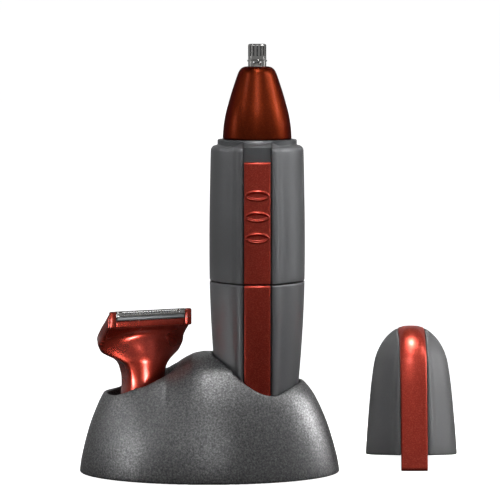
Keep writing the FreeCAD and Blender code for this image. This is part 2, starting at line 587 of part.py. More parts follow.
# ================================================================ micro shaver head (own frame: base centre, front -Y)
stem_pts = [(10.75, 0.0), (10.75, 3.6), (10.6, 5.2), (10.0, 7.2), (9.0, 9.6), (7.9, 12.2), (7.15, 15.0), (6.75, 18.0), (6.6, 21.0),
            (6.6, 24.0), (6.5, 26.0), (6.2, 27.5)]
stem = revolve(None, smooth=stem_pts).fuse(ellipsoid(7.4, 6.3, 7.4, 0, -0.4, 25.4))
flare_secs = [(18.5, 6.45, 6.45, 0.0, 2.0), (21.0, 6.75, 6.3, 0.1, 2.0), (23.0, 7.3, 6.0, 0.5, 2.1), (24.6, 8.6, 5.5, 1.1, 2.2),
              (26.0, 10.6, 4.9, 1.9, 2.4), (27.2, 12.2, 4.3, 2.7, 2.6), (28.6, 12.9, 3.7, 3.3, 2.9), (30.0, 13.1, 3.3, 3.5, 3.2)]
flare = Part.makeLoft([squircle(z, a, b, cy, n) for z, a, b, cy, n in flare_secs], True, False)
plate_poly = [(-5.4, 40.6), (-5.4, 35.9), (-0.7, 32.3), (2.4, 29.4), (4.6, 28.6), (6.1, 29.2), (6.75, 30.6), (6.5, 31.8)]
plate = prism_x(plate_poly, -13.5, 13.5)
front_outline = [(-13.5, 45), (-13.5, 36.0), (-13.35, 33.5), (-12.9, 31.0), (-12.3, 29.3), (-11.4, 28.0), (-10.0, 27.2), (10.0, 27.2),
                 (11.4, 28.0), (12.3, 29.3), (12.9, 31.0), (13.35, 33.5), (13.5, 36.0), (13.5, 45)]
plate = plate.common(prism_y(front_outline, -10, 10))
# hollows: base socket, bore, blade chamber behind the front face, blade opening, fork room
inner_poly = [(-5.6, 38.7), (-5.6, 37.4), (0.1, 33.5), (2.9, 31.0), (4.6, 30.2), (5.3, 30.9)]
chamber = prism_x(inner_poly, -11.4, 11.4).common(prism_y([(-11.4, 45), (-11.4, 33), (-10.4, 30.5), (-8, 28), (8, 28), (10.4, 30.5),
                                                           (11.4, 33), (11.4, 45)], -10, 10))
hollow = fuse([revolve([(0, -1), (8.85, -1), (8.85, 4.6), (5.15, 5.4), (5.15, 26.8), (0, 26.8)]), box(-3.9, 3.9, -2.6, 2.6, 26.0, 31.6)])
hollows = [hollow, chamber, box(-11.5, 11.5, -7, -3.55, 37.4, 44), box(-3.6, 3.6, -0.3, 1.7, 30.5, 34.0)]
shaver = stem.cut(hollows).fuse(flare.cut(hollows)).fuse(plate.cut(hollows))
shaver = shaver.fuse(cyl(5.6, 12.0, 13.4).cut(cyl(1.63, 11, 15)))
save("shaver_body", shaver, S, SHAVER_YAW)

frame_blocks = []
for s in (-1, 1):
    b = box(min(s * 11.35, s * 13.5), max(s * 11.35, s * 13.5), -7.05, -5.42, 36.0, 41.2)
    b = try_fillet(b, 0.45, lambda e: True, "frame block")
    frame_blocks.append(b)
sill = prism_x([(-6.85, 36.3), (-6.85, 38.0), (-6.6, 38.25), (-5.42, 38.25), (-5.42, 36.1), (-6.6, 36.1)], -11.6, 11.6)
foil_frame = fuse(frame_blocks + [sill])
save("foil_frame", foil_frame, S, SHAVER_YAW)

foil_out = [(-6.95, 39.45), (-6.95, 40.6), (-6.75, 41.0), (-6.3, 41.2), (-5.6, 41.15), (-4.7, 40.75), (-3.7, 40.05)]
foil_in = [(y + dy, z + dz) for (y, z), (dy, dz) in zip(foil_out, [(0.16, 0), (0.16, -0.03), (0.12, -0.12), (0.03, -0.17), (-0.04, -0.16), (-0.09, -0.14), (-0.1, -0.14)])]
foil = prism_x(foil_out + foil_in[::-1], -11.3, 11.3)
for k in range(25):
    x = -10.2 + k * 0.85
    slot = box(-0.19, 0.19, -7.3, -4.5, 39.85, 42)
    slot.rotate(V(0, -6.5, 40.5), V(0, 1, 0), 0)
    slot.translate(V(x, 0, 0))
    foil = foil.cut(slot)
save("shaver_foil", foil, S, SHAVER_YAW)
guard = box(-9.6, 9.6, -7.0, -6.7, 38.75, 39.2)
guard = fuse([guard, box(-10.9, 10.9, -6.75, -6.5, 38.62, 39.32)])
save("guard_bar", guard, S, SHAVER_YAW)
comb = prism_x([(-6.48, 38.3), (-6.48, 39.3), (-6.2, 39.3), (-6.2, 38.6), (-4.0, 38.6), (-4.0, 38.3)], -11.3, 11.3)
comb = comb.cut(box(-7.2, 7.2, -6.15, -3, 38, 39))
save("comb_holder", comb, S, SHAVER_YAW)
cutter = box(-9.6, 9.6, -5.95, -4.8, 38.75, 40.4)
for k in range(19):
    x = -9.0 + k * 1.0
    cutter = cutter.cut(box(x - 0.22, x + 0.22, -6.6, -4.0, 39.4, 41))
save("moving_cutter", cutter, S, SHAVER_YAW)
blade_carrier = fuse([box(-6.2, 6.2, -5.3, -4.4, 37.75, 38.75),
                      prism_x([(-5.1, 37.75), (-4.3, 38.0), (-3.9, 37.25), (0.2, 34.2), (1.1, 33.6), (1.1, 31.1), (0.2, 31.1), (0.2, 33.5),
                               (-0.2, 34.0), (-4.8, 37.4)], -2.9, 2.9)])
fork = box(-2.95, 2.95, -1.9, 1.9, 29.3, 31.2).cut(box(-1.95, 1.95, -5, 0.9, 29, 32)).common(cyl(3.5, 29, 32))
fork = fuse([box(-2.95, -2.0, -1.6, 1.6, 29.3, 31.15), box(2.0, 2.95, -1.6, 1.6, 29.3, 31.15), box(-2.95, 2.95, 1.35, 2.0, 30.2, 31.15)])
fork = fork.common(cyl(3.3, 29, 32))
blade_carrier = fuse([blade_carrier, fork, box(-2.0, 2.0, 0.9, 1.9, 30.95, 31.35)])
save("blade_carrier", blade_carrier, S, SHAVER_YAW)
crank = revolve([(0, 0.9), (2.6, 0.9), (2.6, 6.4), (1.5, 7.0), (1.5, 27.2), (2.3, 27.2), (2.3, 28.4), (0, 28.4)])
crank = fuse([crank, cyl(0.55, 28.3, 30.9, 0.6, 0)]).cut(box(-1.45, 1.45, -1.45, 1.45, 0, 5.4))
save("eccentric_spindle", crank, S, SHAVER_YAW)
save("spindle_bush", tube(5.13, 1.62, 24.6, 25.8), S, SHAVER_YAW)

# ================================================================ cap (own frame: rim at z = 0, front -Y)
def cap_loft(h0, inset=0.0):
    """The cap's outside from height h0 above its rim up, or a surface lying inset under it. The spines fade out at the crown."""
    c = Part.BSplineCurve()
    c.interpolate([V(r, 0, h) for h, r in RC])
    first = c.parameter(V(interp(RC, h0), 0, h0)) if h0 > RC[0][0] else c.FirstParameter
    pts = c.discretize(Number=17, First=first, Last=c.LastParameter)
    wires = []
    for p in pts:
        t = c.tangent(c.parameter(p))[0]
        r, h = p.x - inset * t.z, p.z + inset * t.x
        bulge = SPINE_A * (1.0 if p.z < 22 else max(0.0, math.cos((p.z - 22) / (CAP_H - 22) * math.pi / 2)) ** 0.7)
        wires.append(section(h, max(r, 0.6), min(bulge, r * 0.5)))
    return Part.makeLoft(wires, True, False)


def stand_cap(shape):
    """Leans the cap back on its front tongue and puts it in its place on the table."""
    s = shape.copy()
    s.rotate(V(0, 0, 0), V(1, 0, 0), -CAP_LEAN)
    s.translate(V(CX, CY, cap_drop))
    return s


cap_outer = cap_loft(0.0)
cap_strip_out = cap_loft(-TONGUE, -0.12)
cap_strip_in = cap_loft(-TONGUE, 1.15)
cap_groove_in = cap_loft(-TONGUE, 1.2)
cap_cavity = cap_loft(-TONGUE, 2.4)
groove = box(-4.3, 4.3, -30, 30, -5, 60).cut(cap_groove_in)
cap_shell = cap_outer.cut(groove).cut(cap_cavity)
cap_shell = cap_shell.cut(cyl(12.5, -1, 2.4))
cap_strip = cap_strip_out.common(fuse([box(-4.15, 4.15, -30, 30, 0, 60), box(-4.15, 4.15, -30, 0, -TONGUE, 1)])).cut(cap_strip_in)
tipped = cap_strip.copy()
tipped.rotate(V(0, 0, 0), V(1, 0, 0), -CAP_LEAN)
tipped2 = cap_shell.copy()
tipped2.rotate(V(0, 0, 0), V(1, 0, 0), -CAP_LEAN)
cap_drop = -min(min(v.Point.z for v in tipped.Vertexes), min(v.Point.z for v in tipped2.Vertexes)) + 0.02
save("cap_shell", stand_cap(cap_shell))
save("cap_trim_strip", stand_cap(cap_strip))

print(len(MADE), "nodes")
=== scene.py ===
import json
import math

import bmesh
import bpy
import numpy as np
from mathutils import Matrix, Vector

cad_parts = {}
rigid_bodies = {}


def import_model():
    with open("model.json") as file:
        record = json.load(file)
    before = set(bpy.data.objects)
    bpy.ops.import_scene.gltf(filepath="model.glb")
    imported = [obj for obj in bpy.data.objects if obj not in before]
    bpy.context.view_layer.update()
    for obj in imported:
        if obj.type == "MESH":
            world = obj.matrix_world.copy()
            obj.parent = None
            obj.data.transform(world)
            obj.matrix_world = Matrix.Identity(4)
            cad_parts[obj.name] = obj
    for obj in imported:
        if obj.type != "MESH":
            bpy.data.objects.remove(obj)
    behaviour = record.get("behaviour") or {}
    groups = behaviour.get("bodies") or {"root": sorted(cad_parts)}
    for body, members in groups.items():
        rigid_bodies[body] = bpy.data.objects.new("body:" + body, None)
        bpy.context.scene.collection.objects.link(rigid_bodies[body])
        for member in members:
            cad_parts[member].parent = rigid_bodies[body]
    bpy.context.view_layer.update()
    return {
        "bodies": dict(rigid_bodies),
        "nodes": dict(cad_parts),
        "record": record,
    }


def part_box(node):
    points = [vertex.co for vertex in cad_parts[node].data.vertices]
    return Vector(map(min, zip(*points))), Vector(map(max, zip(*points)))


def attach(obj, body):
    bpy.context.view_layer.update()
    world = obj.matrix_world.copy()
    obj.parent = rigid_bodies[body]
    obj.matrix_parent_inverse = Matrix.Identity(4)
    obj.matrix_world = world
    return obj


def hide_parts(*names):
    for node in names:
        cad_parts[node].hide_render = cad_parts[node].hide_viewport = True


MM = 0.001
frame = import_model()
NODES = frame["nodes"]

# ------------------------------------------------------------------ where things are, from the frame
lo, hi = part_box("nose_head_cone")
TX, TY = (lo.x + hi.x) / 2 / MM, (lo.y + hi.y) / 2 / MM      # trimmer axis
lo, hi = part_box("spindle_bush")
SX, SY = (lo.x + hi.x) / 2 / MM, (lo.y + hi.y) / 2 / MM      # spare shaver head's axis
SHAVER_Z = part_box("shaver_body")[0].z / MM
SHAVER_YAW = math.radians(24.0)
CAP_LEAN = math.radians(8.76)
SEAM_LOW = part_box("lower_grip_left")[1].z / MM
SEAM_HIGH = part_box("upper_grip_left")[0].z / MM
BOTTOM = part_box("lower_grip_left")[0].z / MM

# ------------------------------------------------------------------ the housing's shape, mm
RS = [(6.0, 10.4), (12.0, 11.2), (18.0, 11.9), (25.0, 12.6), (33.7, 13.35), (43.0, 14.0),
      (52.0, 14.45), (60.0, 14.68), (70.0, 14.76), (80.0, 14.7), (91.0, 14.5), (98.0, 14.35), (104.0, 14.15)]
RC = [(-4.8, 14.7), (0.0, 14.5), (7.0, 14.05), (14.2, 13.45), (21.8, 12.75), (27.5, 12.0), (31.0, 11.3), (34.0, 10.1),
      (36.7, 8.4), (38.7, 6.5), (40.1, 4.4), (40.8, 2.2)]
SPINE_A = 1.6
CHANNEL = 4.35
STRIP = 4.0


def natural_cubic(xs, ys):
    """Coefficients of a natural cubic spline, for reading with cubic()."""
    xs, ys = np.asarray(xs, float), np.asarray(ys, float)
    n = len(xs)
    h = np.diff(xs)
    a = np.zeros((n, n))
    b = np.zeros(n)
    a[0, 0] = a[-1, -1] = 1
    for i in range(1, n - 1):
        a[i, i - 1], a[i, i], a[i, i + 1] = h[i - 1], 2 * (h[i - 1] + h[i]), h[i]
        b[i] = 3 * ((ys[i + 1] - ys[i]) / h[i] - (ys[i] - ys[i - 1]) / h[i - 1])
    c = np.linalg.solve(a, b)
    return xs, ys, h, c


def cubic(s, x):
    xs, ys, h, c = s
    x = np.clip(np.asarray(x, float), xs[0], xs[-1])
    i = np.clip(np.searchsorted(xs, x, side="right") - 1, 0, len(h) - 1)
    t = x - xs[i]
    b = (ys[i + 1] - ys[i]) / h[i] - h[i] * (2 * c[i] + c[i + 1]) / 3
    d = (c[i + 1] - c[i]) / (3 * h[i])
    return ys[i] + b * t + c[i] * t * t + d * t ** 3


SIDE = natural_cubic([z for z, _ in RS], [r for _, r in RS])


def side(z):
    return cubic(SIDE, z)


def spine_bulge(deg):
    """1 over the front and rear spines of the housing, 0 at its sides. The angle is from the front."""
    phi = np.minimum(np.mod(deg, 360), 360 - np.mod(deg, 360))
    return 1 / (1 + np.exp((phi - 26.0) / 2.6)) + 1 / (1 + np.exp((180 - phi - 26.0) / 2.6))


def smoothstep(t):
    t = np.clip(t, 0, 1)
    return t * t * (3 - 2 * t)


# ------------------------------------------------------------------ mesh helpers
def make_object(name, verts, faces, smooth=True, sharp_deg=None):
    """A mesh object from millimetre vertices."""
    me = bpy.data.meshes.new(name)
    me.from_pydata([tuple(float(c) * MM for c in v) for v in verts], [], [tuple(int(i) for i in f) for f in faces])
    me.validate()
    me.update()
    o = bpy.data.objects.new(name, me)
    bpy.context.scene.collection.objects.link(o)
    if smooth:
        me.polygons.foreach_set("use_smooth", [True] * len(me.polygons))
    if sharp_deg is not None:
        me.set_sharp_from_angle(angle=math.radians(sharp_deg))
    return o


def grid_faces(rows, cols, wrap=False, flip=False, base=0):
    out = []
    last = cols if wrap else cols - 1
    for i in range(rows - 1):
        for j in range(last):
            a, b = base + i * cols + j, base + i * cols + (j + 1) % cols
            c, d = base + (i + 1) * cols + (j + 1) % cols, base + (i + 1) * cols + j
            out.append((a, d, c, b) if flip else (a, b, c, d))
    return out


def lathe(name, profile, centre=(0, 0), segments=144):
    """Turns (r, z) points, bottom to top along the outside, about a vertical axis."""
    verts, faces = [], []
    n = len(profile)
    for r, z in profile:
        for k in range(segments):
            a = 2 * math.pi * k / segments
            verts.append((centre[0] + r * math.cos(a), centre[1] + r * math.sin(a), z))
    faces = grid_faces(n, segments, wrap=True)
    return verts, faces


def recalc(o):
    bm = bmesh.new()
    bm.from_mesh(o.data)
    bmesh.ops.remove_doubles(bm, verts=bm.verts, dist=1e-7)
    bmesh.ops.recalc_face_normals(bm, faces=bm.faces)
    bm.to_mesh(o.data)
    bm.free()
    o.data.update()


def join(name, parts, smooth=True):
    verts, faces = [], []
    for v, f in parts:
        base = len(verts)
        verts.extend(v)
        faces.extend([tuple(i + base for i in q) for q in f])
    return make_object(name, verts, faces, smooth)


# ------------------------------------------------------------------ materials
def new_mat(name):
    m = bpy.data.materials.new(name)
    m.use_nodes = True
    nt = m.node_tree
    nt.nodes.clear()
    out = nt.nodes.new("ShaderNodeOutputMaterial")
    bsdf = nt.nodes.new("ShaderNodeBsdfPrincipled")
    nt.links.new(bsdf.outputs["BSDF"], out.inputs["Surface"])
    return m, nt, bsdf


def coords(nt, scale=(1, 1, 1)):
    tc = nt.nodes.new("ShaderNodeTexCoord")
    mp = nt.nodes.new("ShaderNodeMapping")
    mp.inputs["Scale"].default_value = scale
    nt.links.new(tc.outputs["Object"], mp.inputs["Vector"])
    return mp.outputs["Vector"]


def noise(nt, vec, scale, detail=2.0, rough=0.5):
    n = nt.nodes.new("ShaderNodeTexNoise")
    n.inputs["Scale"].default_value = scale
    n.inputs["Detail"].default_value = detail
    n.inputs["Roughness"].default_value = rough
    nt.links.new(vec, n.inputs["Vector"])
    return n.outputs["Fac"]


def ramp(nt, fac, stops):
    r = nt.nodes.new("ShaderNodeValToRGB")
    els = r.color_ramp.elements
    while len(els) < len(stops):
        els.new(0.5)
    for e, (p, c) in zip(els, stops):
        e.position = p
        e.color = (*c, 1) if len(c) == 3 else c
    nt.links.new(fac, r.inputs["Fac"])
    return r.outputs["Color"]


def map_range(nt, fac, a0, a1, b0, b1):
    m = nt.nodes.new("ShaderNodeMapRange")
    for k, v in (("From Min", a0), ("From Max", a1), ("To Min", b0), ("To Max", b1)):
        m.inputs[k].default_value = v
    nt.links.new(fac, m.inputs["Value"])
    return m.outputs["Result"]


def bump(nt, height, strength, distance, normal=None):
    b = nt.nodes.new("ShaderNodeBump")
    b.inputs["Strength"].default_value = strength
    b.inputs["Distance"].default_value = distance
    nt.links.new(height, b.inputs["Height"])
    if normal is not None:
        nt.links.new(normal, b.inputs["Normal"])
    return b.outputs["Normal"]


def finish_mat(name, base, metallic=0.0, rough=0.5, var=0.06, grain=2500.0, grain_bump=0.15, cloud=60.0, rough_var=0.05,
               coat=0.0, coat_rough=0.1, aniso=0.0, stretch=(1, 1, 1), bump_mm=0.02, spec=0.5):
    """Painted, moulded, plated or drawn surfaces: a fine grain with its own bump, and slow cloudy changes of tone and gloss."""
    m, nt, b = new_mat(name)
    v = coords(nt, stretch)
    fine = noise(nt, v, grain, 3.0, 0.6)
    slow = noise(nt, coords(nt), cloud, 3.0, 0.5)
    mixv = nt.nodes.new("ShaderNodeMix")
    mixv.data_type = "FLOAT"
    mixv.inputs["Factor"].default_value = 0.45
    nt.links.new(fine, mixv.inputs["A"])
    nt.links.new(slow, mixv.inputs["B"])
    dark = tuple(max(0.0, c * (1 - var * 2.2)) for c in base)
    light = tuple(min(1.0, c * (1 + var * 2.2)) for c in base)
    col = ramp(nt, mixv.outputs["Result"], [(0.3, dark), (0.5, base), (0.7, light)])
    nt.links.new(col, b.inputs["Base Color"])
    nt.links.new(map_range(nt, slow, 0.3, 0.7, rough - rough_var, rough + rough_var), b.inputs["Roughness"])
    nt.links.new(bump(nt, fine, grain_bump, bump_mm * MM), b.inputs["Normal"])
    b.inputs["Metallic"].default_value = metallic
    b.inputs["Coat Weight"].default_value = coat
    b.inputs["Coat Roughness"].default_value = coat_rough
    b.inputs["Anisotropic"].default_value = aniso
    b.inputs["Specular IOR Level"].default_value = spec
    return m


def flake_mat(name, base, flake, metallic=0.75, rough=0.3, coat=0.5, coat_rough=0.08, scale=5200.0, tilt=0.12, var=0.2):
    """Metallic lacquer: tiny flakes that each lean their own way under a clear coat."""
    m, nt, b = new_mat(name)
    v = coords(nt)
    cells = nt.nodes.new("ShaderNodeTexVoronoi")
    cells.inputs["Scale"].default_value = scale
    nt.links.new(v, cells.inputs["Vector"])
    sep = nt.nodes.new("ShaderNodeSeparateColor")
    nt.links.new(cells.outputs["Color"], sep.inputs["Color"])
    slow = noise(nt, v, 90.0, 2.0)
    col = ramp(nt, sep.outputs["Red"], [(0.0, tuple(c * (1 - var) for c in base)), (0.6, base), (1.0, flake)])
    nt.links.new(col, b.inputs["Base Color"])
    nt.links.new(bump(nt, sep.outputs["Green"], tilt, 0.02 * MM), b.inputs["Normal"])
    nt.links.new(map_range(nt, slow, 0.3, 0.7, rough - 0.04, rough + 0.05), b.inputs["Roughness"])
    b.inputs["Metallic"].default_value = metallic
    b.inputs["Coat Weight"].default_value = coat
    b.inputs["Coat Roughness"].default_value = coat_rough
    return m


def sand_mat(name, dark, mid, light, metallic=0.6, rough=0.5):
    """Coarse sprayed metal texture: bright and dark grains a third of a millimetre across over a finer one."""
    m, nt, b = new_mat(name)
    v = coords(nt)
    g1 = noise(nt, v, 1900.0, 2.0, 0.65)
    g2 = noise(nt, v, 5200.0, 2.0, 0.6)
    add = nt.nodes.new("ShaderNodeMix")
    add.data_type = "FLOAT"
    add.inputs["Factor"].default_value = 0.4
    nt.links.new(g1, add.inputs["A"])
    nt.links.new(g2, add.inputs["B"])
    h = add.outputs["Result"]
    col = ramp(nt, h, [(0.32, dark), (0.5, mid), (0.66, light)])
    nt.links.new(col, b.inputs["Base Color"])
    nt.links.new(map_range(nt, h, 0.35, 0.65, rough + 0.1, rough - 0.1), b.inputs["Roughness"])
    nt.links.new(bump(nt, h, 0.5, 0.09 * MM), b.inputs["Normal"])
    b.inputs["Metallic"].default_value = metallic
    return m


M = {}
M["housing_grey"] = finish_mat("housing_grey", (0.135, 0.137, 0.142), metallic=0.55, rough=0.42, var=0.05, grain=3600, grain_bump=0.12, coat=0.1, coat_rough=0.3)
M["cap_grey"] = finish_mat("cap_grey", (0.10, 0.10, 0.102), metallic=0.3, rough=0.5, var=0.05, grain=3600, grain_bump=0.12, spec=0.35)
M["core_grey"] = finish_mat("core_grey", (0.085, 0.088, 0.092), metallic=0.4, rough=0.4, var=0.05, grain=3600, grain_bump=0.1)
M["trim_red"] = flake_mat("trim_red", (0.40, 0.036, 0.020), (0.52, 0.07, 0.04), metallic=0.8, rough=0.34, coat=0.15, coat_rough=0.15)
M["switch_red"] = flake_mat("switch_red", (0.40, 0.036, 0.020), (0.52, 0.07, 0.04), metallic=0.8, rough=0.34, coat=0.15, coat_rough=0.15)
M["cone_copper"] = flake_mat("cone_copper", (0.11, 0.0135, 0.0032), (0.155, 0.022, 0.0065), metallic=0.92, rough=0.36, coat=0.03, coat_rough=0.2)
for n in M["cone_copper"].node_tree.nodes:
    if n.type == "BSDF_PRINCIPLED":
        n.inputs["Specular Tint"].default_value = (0.35, 0.12, 0.08, 1.0)
M["shaver_red"] = flake_mat("shaver_red", (0.25, 0.021, 0.0105), (0.33, 0.04, 0.022), metallic=0.88, rough=0.27, coat=0.4, coat_rough=0.1)
M["stand_grey"] = sand_mat("stand_grey", (0.05, 0.05, 0.051), (0.12, 0.12, 0.122), (0.24, 0.24, 0.243), metallic=0.85, rough=0.42)
M["steel"] = finish_mat("steel", (0.40, 0.395, 0.385), metallic=1.0, rough=0.16, var=0.04, grain=2600, grain_bump=0.1, stretch=(1, 1, 0.08))
# painted shade: a darker, rougher copy of the steel, so that the foil's slots read dark where the cutter shows through
# them
M["steel_dark"] = finish_mat("steel_dark", (0.32, 0.33, 0.34), metallic=1.0, rough=0.32, var=0.06, grain=2600, grain_bump=0.15, stretch=(0.1, 1, 1))
M["spring_steel"] = finish_mat("spring_steel", (0.5, 0.5, 0.52), metallic=1.0, rough=0.28, var=0.05, grain=3000)
M["motor_steel"] = finish_mat("motor_steel", (0.55, 0.56, 0.57), metallic=1.0, rough=0.34, var=0.06, grain=1800, grain_bump=0.1, stretch=(1, 1, 0.1))
M["nickel"] = finish_mat("nickel", (0.66, 0.65, 0.62), metallic=1.0, rough=0.22, var=0.04, grain=2600)
M["brass"] = finish_mat("brass", (0.62, 0.42, 0.14), metallic=1.0, rough=0.3, var=0.07, grain=2400)
M["copper_wire"] = finish_mat("copper_wire", (0.55, 0.2, 0.07), metallic=0.9, rough=0.32, var=0.18, grain=900, grain_bump=0.7, stretch=(1, 1, 7), bump_mm=0.12)
M["magnet"] = finish_mat("magnet", (0.03, 0.03, 0.033), metallic=0.3, rough=0.65, var=0.12, grain=1500, grain_bump=0.4)
M["black_plastic"] = finish_mat("black_plastic", (0.018, 0.018, 0.019), rough=0.5, var=0.1, grain=2000, grain_bump=0.35)
M["white_plastic"] = finish_mat("white_plastic", (0.72, 0.71, 0.68), rough=0.42, var=0.03, grain=2000, grain_bump=0.2)
M["rubber_black"] = finish_mat("rubber_black", (0.02, 0.02, 0.02), rough=0.78, var=0.12, grain=1500, grain_bump=0.6)
M["cell_jacket"] = finish_mat("cell_jacket", (0.05, 0.12, 0.30), metallic=0.3, rough=0.25, var=0.05, grain=1200, grain_bump=0.06, coat=0.6)

slots = {s["node"]: s["material_slot"] for s in frame["record"]["subparts"]}


def dress(o, slot):
    """One material over the whole object."""
    o.data.materials.clear()
    o.data.materials.append(M[slot])


for name, o in NODES.items():
    dress(o, slots[name])
    o.data.polygons.foreach_set("use_smooth", [True] * len(o.data.polygons))
# painted shade: the cutter behind the foil takes the darkened steel, standing in for the shade inside the foil's slots
dress(NODES["moving_cutter"], "steel_dark")


def place(o, node, slot=None):
    """o stands for the CAD node, rides with it and takes its finish."""
    slot = slot or slots[node]
    dress(o, slot)
    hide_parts(node)
    body = NODES[node].parent.name
    for b, e in frame["bodies"].items():
        if e == NODES[node].parent:
            body = b
    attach(o, body)
    return o


# ------------------------------------------------------------------ sheets with thickness
def edge_drop(s, r):
    """How far a rounded edge of radius r falls away at distance s inside it."""
    t = np.clip(r - s, 0, r)
    return r - np.sqrt(np.maximum(r * r - t * t, 0))


def thick(outer, inner):
    """Closed mesh from an outer and an inner grid of points of the same size."""
    outer, inner = np.asarray(outer), np.asarray(inner)
    rows, cols = outer.shape[:2]
    n = rows * cols
    verts = [tuple(p) for p in outer.reshape(-1, 3)] + [tuple(p) for p in inner.reshape(-1, 3)]
    faces = grid_faces(rows, cols) + grid_faces(rows, cols, flip=True, base=n)
    for i in range(rows - 1):
        for j in (0, cols - 1):
            a, b = i * cols + j, (i + 1) * cols + j
            faces.append((a, b, b + n, a + n) if j == 0 else (b, a, a + n, b + n))
    for j in range(cols - 1):
        for i in (0, rows - 1):
            a, b = i * cols + j, i * cols + j + 1
            faces.append((b, a, a + n, b + n) if i == 0 else (a, b, b + n, a + n))
    return verts, faces


def rim_angle(radius_at, x0):
    """The angle from the front at which a section is x0 from the middle."""
    a, b = 0.0, 90.0
    for _ in range(40):
        m = (a + b) / 2
        if radius_at(np.array([m]))[0] * math.sin(math.radians(m)) < x0:
            a = m
        else:
            b = m
    return (a + b) / 2


SPREAD = np.concatenate([[0, 0.004, 0.012, 0.025, 0.042, 0.06, 0.08], np.linspace(0.1, 0.32, 20), np.linspace(0.35, 1.0, 22)])


def half_ring(radius_at, x0):
    """Angles from one side of the front channel to the same side of the rear channel."""
    a0 = rim_angle(radius_at, x0)
    front = a0 + SPREAD * (90 - a0)
    return np.concatenate([front, 180 - front[-2::-1]])


# ------------------------------------------------------------------ grip panels
class Levels:
    """Heights up a panel, how far its surface lies inside the housing's at each, and a limit on its radius."""

    def __init__(self, zs, ds, limit=None):
        self.zs, self.ds, self.limit = zs, ds, limit


def upper_levels():
    zs = [SEAM_HIGH, SEAM_HIGH + 0.04, SEAM_HIGH + 0.12, SEAM_HIGH + 0.24, SEAM_HIGH + 0.36]
    ds = [0.36, 0.2, 0.09, 0.02, 0.0]
    zs += list(np.linspace(SEAM_HIGH + 1.5, 100.1, 28))
    ds += [0.0] * 28
    for u in np.linspace(0, 1, 13)[1:]:
        zs.append(100.1 + 1.6 * math.sin(u * math.pi / 2))
        ds.append(1.6 * (1 - math.cos(u * math.pi / 2)))
    for u in np.linspace(0, 1, 8)[1:]:
        zs.append(101.7 + 1.2 * u)
        ds.append(1.6 + 1.9 * u)
    return Levels(zs, ds)


def lower_levels():
    zs, ds = [], []
    limit = ((BOTTOM, 8.6), (BOTTOM + 0.35, 10.2), (BOTTOM + 0.95, 11.4), (BOTTOM + 1.8, 12.4), (BOTTOM + 2.9, 13.1), (BOTTOM + 4.3, 13.6),
             (BOTTOM + 6.0, 13.9), (BOTTOM + 9.0, 20.0), (200, 20.0))
    for z in np.concatenate([np.linspace(BOTTOM, BOTTOM + 2.0, 10), np.linspace(BOTTOM + 2.4, BOTTOM + 8.0, 8), np.linspace(BOTTOM + 10, SEAM_LOW - 1.2, 26)]):
        zs.append(float(z))
        ds.append(0.0)
    zs += [SEAM_LOW - 0.36, SEAM_LOW - 0.24, SEAM_LOW - 0.12, SEAM_LOW - 0.04, SEAM_LOW]
    ds += [0.0, 0.02, 0.09, 0.2, 0.36]
    return Levels(zs, ds, limit)


def panel(mirror, lv):
    outer, inner = [], []
    for z, d in zip(lv.zs, lv.ds):
        rs = float(side(min(z, 104.0)))
        deg = half_ring(lambda t: rs + SPINE_A * spine_bulge(t), CHANNEL)
        r = rs + SPINE_A * spine_bulge(deg)
        x = r * np.sin(np.radians(deg))
        r = r - edge_drop(np.abs(x) - CHANNEL, 0.85) - d
        if lv.limit:
            r = np.minimum(r, np.interp(z, [p[0] for p in lv.limit], [p[1] for p in lv.limit]))
        core = np.minimum(rs - 1.55, r - 0.25)
        rows = []
        for rr in (r, core):
            px = np.maximum(rr * np.sin(np.radians(deg)), CHANNEL)
            py = -rr * np.cos(np.radians(deg))
            rows.append([(TX + (-a if mirror else a), TY + b, z) for a, b in zip(px, py)])
        outer.append(rows[0])
        inner.append(rows[1])
    return thick(outer, inner)


for which, lv in (("upper", upper_levels()), ("lower", lower_levels())):
    for hand, mirror in (("left", True), ("right", False)):
        v, f = panel(mirror, lv)
        o = make_object(f"{which}_grip_{hand}_skin", v, f, True)
        recalc(o)
        o.data.set_sharp_from_angle(angle=math.radians(55))
        place(o, f"{which}_grip_{hand}")


# ------------------------------------------------------------------ strips on the trimmer
def front_y(x, z):
    """How far the housing's outer surface is from its middle plane at that x and height."""
    x, z = np.broadcast_arrays(np.asarray(x, float), np.asarray(z, float))
    rs = side(z)
    y = rs + SPINE_A
    for _ in range(6):
        deg = np.degrees(np.arctan2(np.abs(x), y))
        r = rs + SPINE_A * spine_bulge(deg)
        y = np.sqrt(np.maximum(r * r - x * x, 0))
    return y


SCOOPS = (87.1, 80.7, 74.3)


def scoop_height(x, z):
    """Raised lips round three lens-shaped finger scoops, mm out of the strip's surface."""
    out = np.zeros_like(x + z)
    for c in SCOOPS:
        k = np.clip(1 - (np.abs(x) / 3.5) ** 2.2, 0, 1)
        half = 1.25 * k ** 0.62
        q = np.abs(z - c) - half
        ends = np.clip((np.abs(x) - 3.45) / 0.35, 0, 1)
        lip = np.exp(-(q / 0.25) ** 2) * (1 - ends)
        out = out + 0.44 * lip - 0.5 * smoothstep(-q / 0.6)
    return out


def across(half, bevel, nx):
    e = bevel * np.array([0.0, 0.04, 0.12, 0.25, 0.42, 0.65, 0.85])
    return np.concatenate([-half + e, np.linspace(-half + bevel, half - bevel, nx), (half - e)[::-1]])


def along(z0, z1, r0, r1, n):
    return np.concatenate([z0 + r0 * np.array([0.0, 0.05, 0.15, 0.35, 0.65]), np.linspace(z0 + r0, z1 - r1, n), (z1 - r1 * np.array([0.0, 0.05, 0.15, 0.35, 0.65]))[::-1]])


